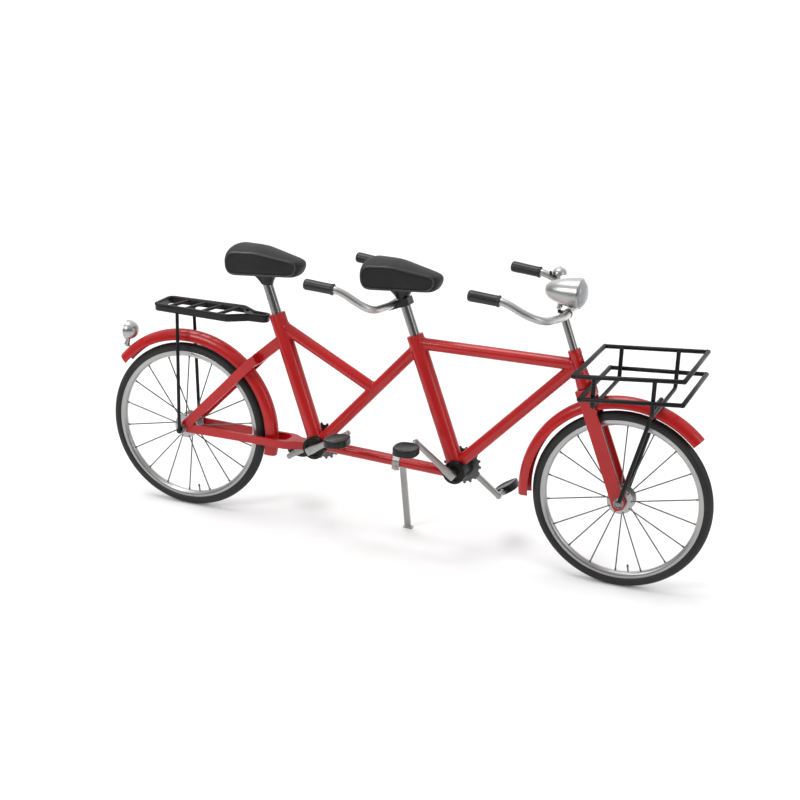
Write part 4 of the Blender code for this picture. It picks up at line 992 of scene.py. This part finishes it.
def saddle(rider):
    """Crowned pad between two stuffed side panels, with a piped seam round each panel."""
    node = rider + "_saddle"
    low, high = span(node)
    outline = panel_outline(low.x, high.x - 0.006, high.z - 0.012, low.z, 0.030)
    count = len(outline)
    mid_x = sum(point.x for point in outline) / count
    mid_z = sum(point.y for point in outline) / count
    rear_half = (high.y - low.y) / 2 * 0.985
    nose_half = 0.036
    edge_pull = 0.865

    def half_width(x):
        """Half the saddle's width, from its broad rear to its nose."""
        share = (x - low.x) / (high.x - low.x)
        ease = min(1.0, max(0.0, (share - 0.10) / 0.84))
        smooth = ease * ease * (3 - 2 * ease)
        return rear_half + (nose_half - rear_half) * (0.55 * ease + 0.45 * smooth)

    rows = 28
    verts, faces = [], []
    for row in range(rows + 1):
        turn = math.pi * (row / rows - 0.5)
        s = math.sin(turn)
        pull = edge_pull + 0.135 * math.sqrt(max(0.0, math.cos(turn)))
        for point in outline:
            x = mid_x + (point.x - mid_x) * pull
            z = mid_z + (point.y - mid_z) * pull
            if point.y > mid_z:
                crown = 0.0160 * half_width(x) / rear_half
                z += crown * (1 - s * s) * (point.y - mid_z) / (high.z - mid_z)
            back = max(0.0, 1 - (x - low.x) / 0.05)
            x += 0.010 * s * s * back
            verts.append((x, s * half_width(x), z))
    for row in range(rows):
        faces += bridge(row * count, (row + 1) * count, count)
    rings = 7
    for side, base in ((-1, 0), (1, rows * count)):
        previous = base
        for ring in range(1, rings + 1):
            share = 1 - ring / (rings + 0.6)
            bulge = 0.0050 * (1 - share**2)
            inset = -0.0030 if ring == 1 else 0.0
            start = len(verts)
            for index in range(count):
                edge = Vector(verts[base + index])
                x = mid_x + (edge.x - mid_x) * share
                z = mid_z + (edge.z - mid_z) * share
                verts.append((x, side * (half_width(x) + bulge + inset), z))
            faces += bridge(previous, start, count)
            previous = start
        faces.append(ring_face(previous, count))
    pad = mesh_object("pad_" + rider, verts, faces, 70.0)
    pipes = []
    for side in (-1, 1):
        seam = []
        for point in outline:
            x = mid_x + (point.x - mid_x) * edge_pull
            z = mid_z + (point.y - mid_z) * edge_pull
            seam.append((x, side * (half_width(x) - 0.0004), z))
        pipes.append(sweep("piping", seam, circle_section(0.0042, 14), cyclic=True))
    body = rider + "_seat"
    fit_out(pad, body, VINYL, "saddle_vinyl", node)
    fit_out(join("piping_" + rider, pipes), body, PIPING, "saddle_vinyl")


def saddle_bracket(rider):
    """A funnel-shaped casting between the post's head and the pad, with a clamp bolt."""
    node = rider + "_saddle_bracket"
    low, high = span(node)
    middle_x = (low.x + high.x) / 2
    top = rising(rider + "_seatpost")[1]
    verts, faces = [], []
    levels = 12
    sides = 40
    for level in range(levels + 1):
        t = level / levels
        ease = t**1.35
        half_x = 0.0245 + (0.0600 - 0.0245) * ease
        half_y = 0.0240 + (0.0400 - 0.0240) * ease
        centre_x = top.x + (middle_x - 0.004 - top.x) * t
        z = low.z - 0.014 + (high.z + 0.020 - low.z) * t
        for side in range(sides):
            angle = 2 * math.pi * side / sides
            verts.append((centre_x + half_x * math.cos(angle), half_y * math.sin(angle), z))
    for level in range(levels):
        faces += bridge(level * sides, (level + 1) * sides, sides)
    faces += [ring_face(0, sides), ring_face(levels * sides, sides)]
    funnel = mesh_object("funnel_" + rider, verts, faces, 40.0)
    bolt = cross_rod("bolt", (top.x, 0.0, low.z + 0.010), 0.0270, 0.0060, 6, cap=0.002)
    body = rider + "_seat"
    fit_out(join("funnel_" + rider, [funnel, bolt]), body, BLACK_PLASTIC, "black_plastic", node)


def seatpost(rider):
    """A plain bright post, rounded off at its ends."""
    node = rider + "_seatpost"
    start, end, radius, _ = centreline(node)
    post = rod("post_" + rider, start, end, radius, 48, cap=0.002)
    fit_out(post, rider + "_seat", POST_STEEL, "satin_steel", node)


for rider_name in ("captain", "stoker"):
    saddle(rider_name)
    saddle_bracket(rider_name)
    seatpost(rider_name)
bar_clamp = softened("stoker_bar_clamp", "bar_clamp", 0.0030)
fit_out(bar_clamp, "captain_seat", BLACK_PLASTIC, "black_plastic", "stoker_bar_clamp")


# ---------------------------------------------------------------- cranksets and pedals
RING_TEETH = 18
RING_BOLTS = 5
RING_DISH = 0.86


def crank_arm(bb, pedal_at, side, inner_y, outer_y):
    """A forged arm: square-shouldered at the spindle, tapering to a rounded pedal eye."""
    axis = Vector((pedal_at.x - bb.x, 0.0, pedal_at.z - bb.z))
    length = axis.length
    axis.normalize()
    across = Vector((-axis.z, 0.0, axis.x))
    outline = [(-0.0160, 0.0145), (-0.0160, -0.0145), (0.0120, -0.0150), (0.0500, -0.0112),
               (length - 0.010, -0.0098)]
    outline += [(length + px, py) for px, py in arc(0.0118, -80, 80, 10)]
    outline += [(length - 0.010, 0.0098), (0.0500, 0.0112), (0.0120, 0.0150)]
    count = len(outline)
    verts = []
    for y in (inner_y, outer_y):
        verts += [bb + axis * px + across * py + Vector((0.0, side * y, 0.0)) for px, py in outline]
    faces = bridge(0, count, count) + [ring_face(0, count), ring_face(count, count)]
    arm = mesh_object("arm", verts, faces)
    bevel = arm.modifiers.new("edges", "BEVEL")
    bevel.width = 0.0022
    bevel.segments = 3
    bevel.limit_method = "ANGLE"
    return applied(arm)


def applied(obj):
    """The object with its modifiers made permanent."""
    bpy.context.view_layer.update()
    evaluated = obj.evaluated_get(bpy.context.evaluated_depsgraph_get())
    mesh = bpy.data.meshes.new_from_object(evaluated)
    name = obj.name
    bpy.data.objects.remove(obj, do_unlink=True)
    return smooth_object(name, mesh, 40.0)


def crankset(rider, bb):
    """The spindle and both arms, with a bolt at each spindle end and an eye at each pedal."""
    outer = span(rider + "_crank")[1].y
    bolt = [(0.0, 0.0034), (0.0052, 0.0032), (0.0062, 0.0022), (0.0070, 0.0005), (0.0100, 0.0),
            (0.0100, -0.003)]
    eye = [(0.0, 0.0014), (0.0048, 0.0012), (0.0060, -0.001)]
    pieces = [cross_rod("spindle", bb, outer - 0.004, 0.0105, 32)]
    for side, word in ((-1, "right"), (1, "left")):
        pedal_at = upright(joint_at(rider + "_pedal_" + word + "_spin"))
        face_y = side * (outer + 0.0002)
        outward = (0.0, float(side), 0.0)
        pieces.append(crank_arm(bb, pedal_at, side, outer - 0.0160, outer))
        pieces.append(lathe("bolt", bolt, bb + Vector((0.0, face_y, 0.0)), outward, 32))
        pieces.append(lathe("eye", eye, (pedal_at.x, face_y, pedal_at.z), outward, 24))
    fit_out(join("cranks_" + rider, pieces), rider + "_crankset", SATIN, "satin_steel", rider + "_crank")


def chainring(rider, bb):
    """A dished disc with short rounded teeth, a raised hub ring and its fixing bolts."""
    low, high = span(rider + "_chainring")
    middle_y = (low.y + high.y) / 2
    half = (high.y - low.y) / 2
    tip = (high.x - low.x) / 2
    root = tip - 0.009
    tooth_shape = [(-0.36, root), (-0.26, root + 0.0015), (-0.17, tip - 0.0016), (-0.09, tip),
                   (0.09, tip), (0.17, tip - 0.0016), (0.26, root + 0.0015), (0.36, root)]
    outline = []
    for tooth in range(RING_TEETH):
        for share, radius in tooth_shape:
            angle = (tooth + share) * (2 * math.pi / RING_TEETH)
            outline.append((radius * math.cos(angle), radius * math.sin(angle)))
    count = len(outline)
    verts = []
    edge, face = half * 0.45, half * 0.9
    for y, scale in ((-edge, 1.0), (edge, 1.0), (face, RING_DISH), (-face, RING_DISH)):
        for px, pz in outline:
            keep = scale if scale == 1.0 else (root * scale) / math.hypot(px, pz)
            verts.append((bb.x + px * keep, middle_y + y, bb.z + pz * keep))
    faces = []
    for first, second in ((3, 0), (0, 1), (1, 2)):
        faces += bridge(first * count, second * count, count)
    faces += [ring_face(2 * count, count), ring_face(3 * count, count)]
    pieces = [mesh_object("disc", verts, faces, 30.0)]
    boss = [(0.0112, -half), (0.0260, -half), (0.0275, -half + 0.001), (0.0275, half + 0.0030),
            (0.0262, half + 0.0042), (0.0112, half + 0.0042)]
    pieces.append(lathe("boss", boss, (bb.x, middle_y, bb.z), steps=48, closed=True))
    for bolt in range(RING_BOLTS):
        angle = 2 * math.pi * bolt / RING_BOLTS + 0.3
        at = Vector((bb.x + 0.042 * math.cos(angle), middle_y, bb.z + 0.042 * math.sin(angle)))
        start, end = at - Vector((0.0, half + 0.0012, 0.0)), at + Vector((0.0, half + 0.0016, 0.0))
        pieces.append(rod("ring_bolt", start, end, 0.0046, 16, cap=0.001))
    body = rider + "_crankset"
    fit_out(join("ring_" + rider, pieces), body, RING_STEEL, "dark_steel", rider + "_chainring")


def pedal(rider, word, side, tilt_deg):
    """A rounded tread block with recessed faces and a steel spindle."""
    node = rider + "_pedal_" + word
    centre = upright(joint_at(node + "_spin"))
    half_x, half_y, half_z, edge = 0.0480, 0.0545, 0.0148, 0.0042
    squareness = 2.7
    profile = [(0.0, half_z - 0.0022), (0.80, half_z - 0.0022), (0.845, half_z - 0.0004), (0.885, half_z)]
    profile += [
        (1 - edge / 0.05 * (1 - math.sin(t)), half_z - edge * (1 - math.cos(t)))
        for t in np.linspace(0.0, math.pi / 2, 5)
    ]
    profile += [(0.985, 0.0)] + [(radius, -along) for radius, along in reversed(profile)]
    tread = lathe("tread_" + node, profile, (0.0, 0.0, 0.0), UPWARD, steps=72, sharp_deg=50.0)
    for vert in tread.data.vertices:
        turn = math.atan2(vert.co.y, vert.co.x)
        rounder = abs(math.cos(turn)) ** squareness + abs(math.sin(turn)) ** squareness
        vert.co.x *= rounder ** (-1 / squareness)
        vert.co.y *= rounder ** (-1 / squareness)
    tilt = Matrix.Rotation(math.radians(tilt_deg), 4, "Y")
    tread.data.transform(Matrix.Translation(centre) @ tilt @ Matrix.Diagonal((half_x, half_y, 1.0, 1.0)))
    shade(tread.data, 50.0)
    fit_out(tread, node + "_body", BLACK_PLASTIC, "black_plastic", node)
    arm_y = span(rider + "_crank")[1].y + 0.0004
    inner = abs(centre.y) - half_y
    tip, root, mouth, within = [
        (centre.x, side * y, centre.z) for y in (abs(centre.y) - 0.02, arm_y, inner - 0.010, inner + 0.010)
    ]
    spindle = rod("spindle", root, tip, 0.0078, 20)
    collar = rod("collar", mouth, within, 0.0120, 28, cap=0.002)
    fit_out(join("spindle_" + node, [spindle, collar]), node + "_body", SATIN, "satin_steel")


crankset("captain", CAPTAIN_BB)
crankset("stoker", STOKER_BB)
chainring("captain", CAPTAIN_BB)
chainring("stoker", STOKER_BB)
pedal("captain", "right", -1, 0.0)
pedal("captain", "left", 1, -32.0)
pedal("stoker", "right", -1, -6.0)
pedal("stoker", "left", 1, 10.0)


# ---------------------------------------------------------------- kickstand


def kickstand():
    """A band round the boom tube with two lugs, a pin and its bolt, and the leg below them."""
    low, high = span("kickstand_clamp")
    boom_start, boom_end, boom_r, _ = centreline("boom_tube")
    boom_dir = (boom_end - boom_start).normalized()
    on_boom = boom_start + boom_dir * (((low.x + high.x) / 2 - boom_start.x) / boom_dir.x)
    band_r = boom_r + 0.0042
    band = [(boom_r, -0.0150), (band_r - 0.001, -0.0150), (band_r, -0.0138), (band_r, 0.0138),
            (band_r - 0.001, 0.0150), (boom_r, 0.0150)]
    pieces = [lathe("band", band, on_boom, boom_dir, steps=56, closed=True)]
    lug = [(-0.0035, -0.0150), (0.0035, -0.0150), (0.0045, -0.0140), (0.0045, 0.0140),
           (0.0035, 0.0150), (-0.0035, 0.0150), (-0.0045, 0.0140), (-0.0045, -0.0140)]
    for y in (low.y + 0.0055, high.y - 0.0180):
        drop = [on_boom + Vector((0.0, y, 0.004)), on_boom + Vector((0.0, y, -0.0290))]
        pieces.append(sweep("lug", drop, lug, up=FORWARD, sharp_deg=60.0))
    pin_z = on_boom.z - 0.024
    pin_start, pin_end = (on_boom.x, low.y + 0.004, pin_z), (on_boom.x, high.y, pin_z)
    pieces.append(rod("pin", pin_start, pin_end, 0.0090, 32, cap=0.001))
    fit_out(join("stand_clamp", pieces), "frame", SATIN, "satin_steel", "kickstand_clamp")
    bolt_at = (on_boom.x, low.y + 0.0020, on_boom.z - 0.0200)
    head = [(0.0, 0.0062), (0.0080, 0.0056), (0.0098, 0.0040), (0.0102, 0.0), (0.0125, -0.0004),
            (0.0125, -0.002)]
    fit_out(lathe("stand_bolt", head, bolt_at, (0.0, -1.0, 0.0), 32), "frame", SATIN, "satin_steel")
    leg = softened("kickstand_leg", "stand_leg", 0.0016)
    fit_out(leg, "kickstand", SATIN, "satin_steel", "kickstand_leg")


kickstand()


# ---------------------------------------------------------------- rear rack and tail lamp


def rack():
    """A flat strip bent round the platform, slanted cross bars inside it, and a forked neck."""
    low, high = span("rear_rack")
    top, depth = high.z + 0.0030, 0.0300
    rim = depth / 2
    strip = [
        (-0.0030, -rim), (0.0030, -rim), (0.0045, 0.0015 - rim), (0.0050, rim - 0.0100),
        (0.0075, rim - 0.0070), (0.0075, rim - 0.0025), (0.0050, rim), (-0.0050, rim),
        (-0.0075, rim - 0.0025), (-0.0075, rim - 0.0070), (-0.0050, rim - 0.0100), (-0.0045, 0.0015 - rim),
    ]
    shoulder_x, neck_x = -0.7050, -0.6350
    inset = high.y - 0.0055
    right = [(high.x - 0.004, 0.0190), (neck_x, 0.0260), (shoulder_x, inset), (low.x + 0.006, inset - 0.014)]
    loop = [(x, y, top - rim) for x, y in reversed(right)]
    loop = [(low.x + 0.006, 0.014 - inset, top - rim), *loop]
    loop += [(x, -y, top - rim) for x, y in right[:-1]]
    route = rounded_route(loop, 0.020, 7, cyclic=True)
    pieces = [sweep("strip", route, strip, cyclic=True, up=UPWARD, sharp_deg=50.0)]
    bar = [(-0.0070, -0.0050), (0.0070, -0.0050), (0.0082, -0.0030), (0.0082, 0.0022), (0.0062, 0.0044),
           (-0.0062, 0.0044), (-0.0082, 0.0022), (-0.0082, -0.0030)]
    bars = 4
    reach = inset - 0.004
    first_x, last_x = low.x + 0.078, shoulder_x - 0.034
    for index in range(bars):
        x = first_x + (last_x - first_x) * index / (bars - 1)
        slant = [(x - 0.016, -reach, top - 0.0085), (x + 0.016, reach, top - 0.0085)]
        pieces.append(sweep("bar", slant, bar, up=UPWARD, sharp_deg=50.0))
    for side in (-1, 1):
        ledge = [(low.x + 0.020, inset - 0.012), (shoulder_x + 0.004, inset - 0.011),
                 (shoulder_x + 0.03, inset - 0.035)]
        ridge = rounded_route([(x, side * y, top - 0.008) for x, y in ledge], 0.01, 4)
        pieces.append(sweep("ledge", ridge, bar, up=UPWARD, sharp_deg=50.0))
    fit_out(join("rack_platform", pieces), "frame", BLACK_PAINT, "black_paint", "rear_rack")


def rack_strut(word):
    """A strut with a flattened eye where it is bolted at the axle."""
    node = "rack_strut_" + word
    foot, top, radius = rising(node)
    eye = (foot.x, foot.y, foot.z + 0.006)
    pieces = [
        rod("strut", foot, top, radius * 0.92, 20, cap=0.003),
        cross_rod("eye", eye, 0.0045, 0.0115, 28, cap=0.001),
    ]
    fit_out(join("strut_" + word, pieces), "frame", BLACK_PAINT, "black_paint", node)


def tail_lamp():
    """A round chromed cup on a foot, with a domed red lens facing back."""
    low, high = span("tail_lamp_housing")
    lens_low, lens_high = span("tail_lamp_lens")
    radius = (high.y - low.y) / 2
    centre = Vector((lens_high.x, 0.0, high.z - radius))
    depth = high.x - centre.x
    turns = np.linspace(0.0, math.pi / 2 * 0.72, 14)
    cup = [(radius * math.sin(turn), depth * math.cos(turn) * 0.98) for turn in turns]
    cup += [(radius * 0.97, depth * 0.26), (radius * 0.985, 0.0040), (radius, 0.0030), (radius, 0.0004),
            (radius - 0.0030, 0.0), (radius - 0.0040, 0.0020)]
    neck = (centre.x + 0.006, 0.0, centre.z - radius + 0.010)
    foot_x = centre.x - 0.004
    pad_top = (centre.x - 0.003, 0.0, low.z + 0.006)
    pieces = [
        lathe("cup", cup, centre, FORWARD, steps=64, sharp_deg=40.0),
        rod("foot", neck, (foot_x, 0.0, low.z + 0.001), 0.0085, 28, end_radius=0.0125),
        rod("pad", (foot_x, 0.0, low.z + 0.0005), pad_top, 0.0150, 28, cap=0.002),
    ]
    fit_out(join("tail_cup", pieces), "frame", CHROME, "chrome", "tail_lamp_housing")
    bulge = centre.x - lens_low.x
    turns = np.linspace(0.0, math.pi / 2, 14)
    dome = [((radius - 0.0042) * math.sin(turn), bulge * math.cos(turn)) for turn in turns]
    lens = lathe("tail_lens", dome, centre - Vector((0.0002, 0.0, 0.0)), (-1.0, 0.0, 0.0), steps=64)
    fit_out(lens, "frame", RED_LENS, "red_lens", "tail_lamp_lens")


rack()
rack_strut("right")
rack_strut("left")
tail_lamp()


# ---------------------------------------------------------------- floor, light and camera
LIGHTS_AIM = Vector((0.0, 0.0, 0.5))
CAMERA_AT = Vector((2.13146, ORIGIN.y - 5.34418, 3.21368))
LENS_MM = 74.03
SENSOR_MM = 36.0


def stage():
    """A pale floor, and a world that is brighter overhead and on the bicycle's left."""
    bpy.ops.mesh.primitive_plane_add(size=60.0)
    floor = bpy.context.object
    floor.name = "floor"
    material, nodes, links, shader, coordinates = node_material("studio_floor")
    tone = add_noise(nodes, links, coordinates, 0.8)
    links.new(ramp_between(nodes, links, tone, grey(0.86), grey(0.88)), shader.inputs["Base Color"])
    shader.inputs["Roughness"].default_value = 0.55
    shader.inputs["Specular IOR Level"].default_value = 0.2
    floor.data.materials.append(material)
    world = bpy.data.worlds.new("studio")
    world.use_nodes = True
    nodes, links = world.node_tree.nodes, world.node_tree.links
    split = nodes.new("ShaderNodeSeparateXYZ")
    links.new(nodes.new("ShaderNodeTexCoord").outputs["Generated"], split.inputs["Vector"])
    total = nodes.new("ShaderNodeMath")
    total.operation = "ADD"
    links.new(map_value(nodes, links, split.outputs["Z"], 0.0, 0.45, 0.1, 0.9), total.inputs[0])
    links.new(map_value(nodes, links, split.outputs["Y"], 0.12, 0.66, -0.75, 0.15), total.inputs[1])
    background = nodes["Background"]
    links.new(total.outputs["Value"], background.inputs["Strength"])
    background.inputs["Color"].default_value = (1.0, 1.0, 1.0, 1.0)
    bpy.context.scene.world = world
    bpy.context.scene.view_settings.view_transform = "Standard"


def area_light(name, at, size, power):
    """A rectangular lamp aimed at the middle of the bicycle."""
    data = bpy.data.lights.new(name, "AREA")
    data.shape = "RECTANGLE"
    data.size, data.size_y = size
    data.energy = power
    lamp = linked(name, data)
    lamp.location = at
    lamp.rotation_euler = (LIGHTS_AIM - Vector(at)).to_track_quat("-Z", "Y").to_euler()


def sun_light(towards, strength, angle_deg):
    """A wide, even light over the whole floor."""
    data = bpy.data.lights.new("overhead", "SUN")
    data.energy = strength
    data.angle = math.radians(angle_deg)
    linked("overhead", data).rotation_euler = Vector(towards).to_track_quat("Z", "Y").to_euler()


def camera():
    """A three-quarter view from the front right, a little above the bars."""
    data = bpy.data.cameras.new("view")
    data.sensor_width = SENSOR_MM
    data.lens = LENS_MM
    data.clip_end = 100.0
    right = Vector((0.93091, 0.36525, 0.00021))
    up = Vector((-0.15046, 0.38294, 0.91144))
    back = Vector((0.33282, -0.84850, 0.41144))
    placed = Matrix((right, up, back)).transposed().to_4x4()
    placed.translation = CAMERA_AT
    eye = linked("view", data)
    eye.matrix_world = placed
    bpy.context.scene.camera = eye


stage()
sun_light((-0.30, 0.10, 1.0), 1.55, 34.0)
area_light("key", (-2.2, -3.4, 3.6), (1.6, 1.6), 70.0)
area_light("side", (4.2, -1.2, 2.4), (1.6, 2.2), 30.0)
camera()


def corners(box):
    """A box's two corners as plain lists."""
    return [list(map(float, corner)) for corner in box]
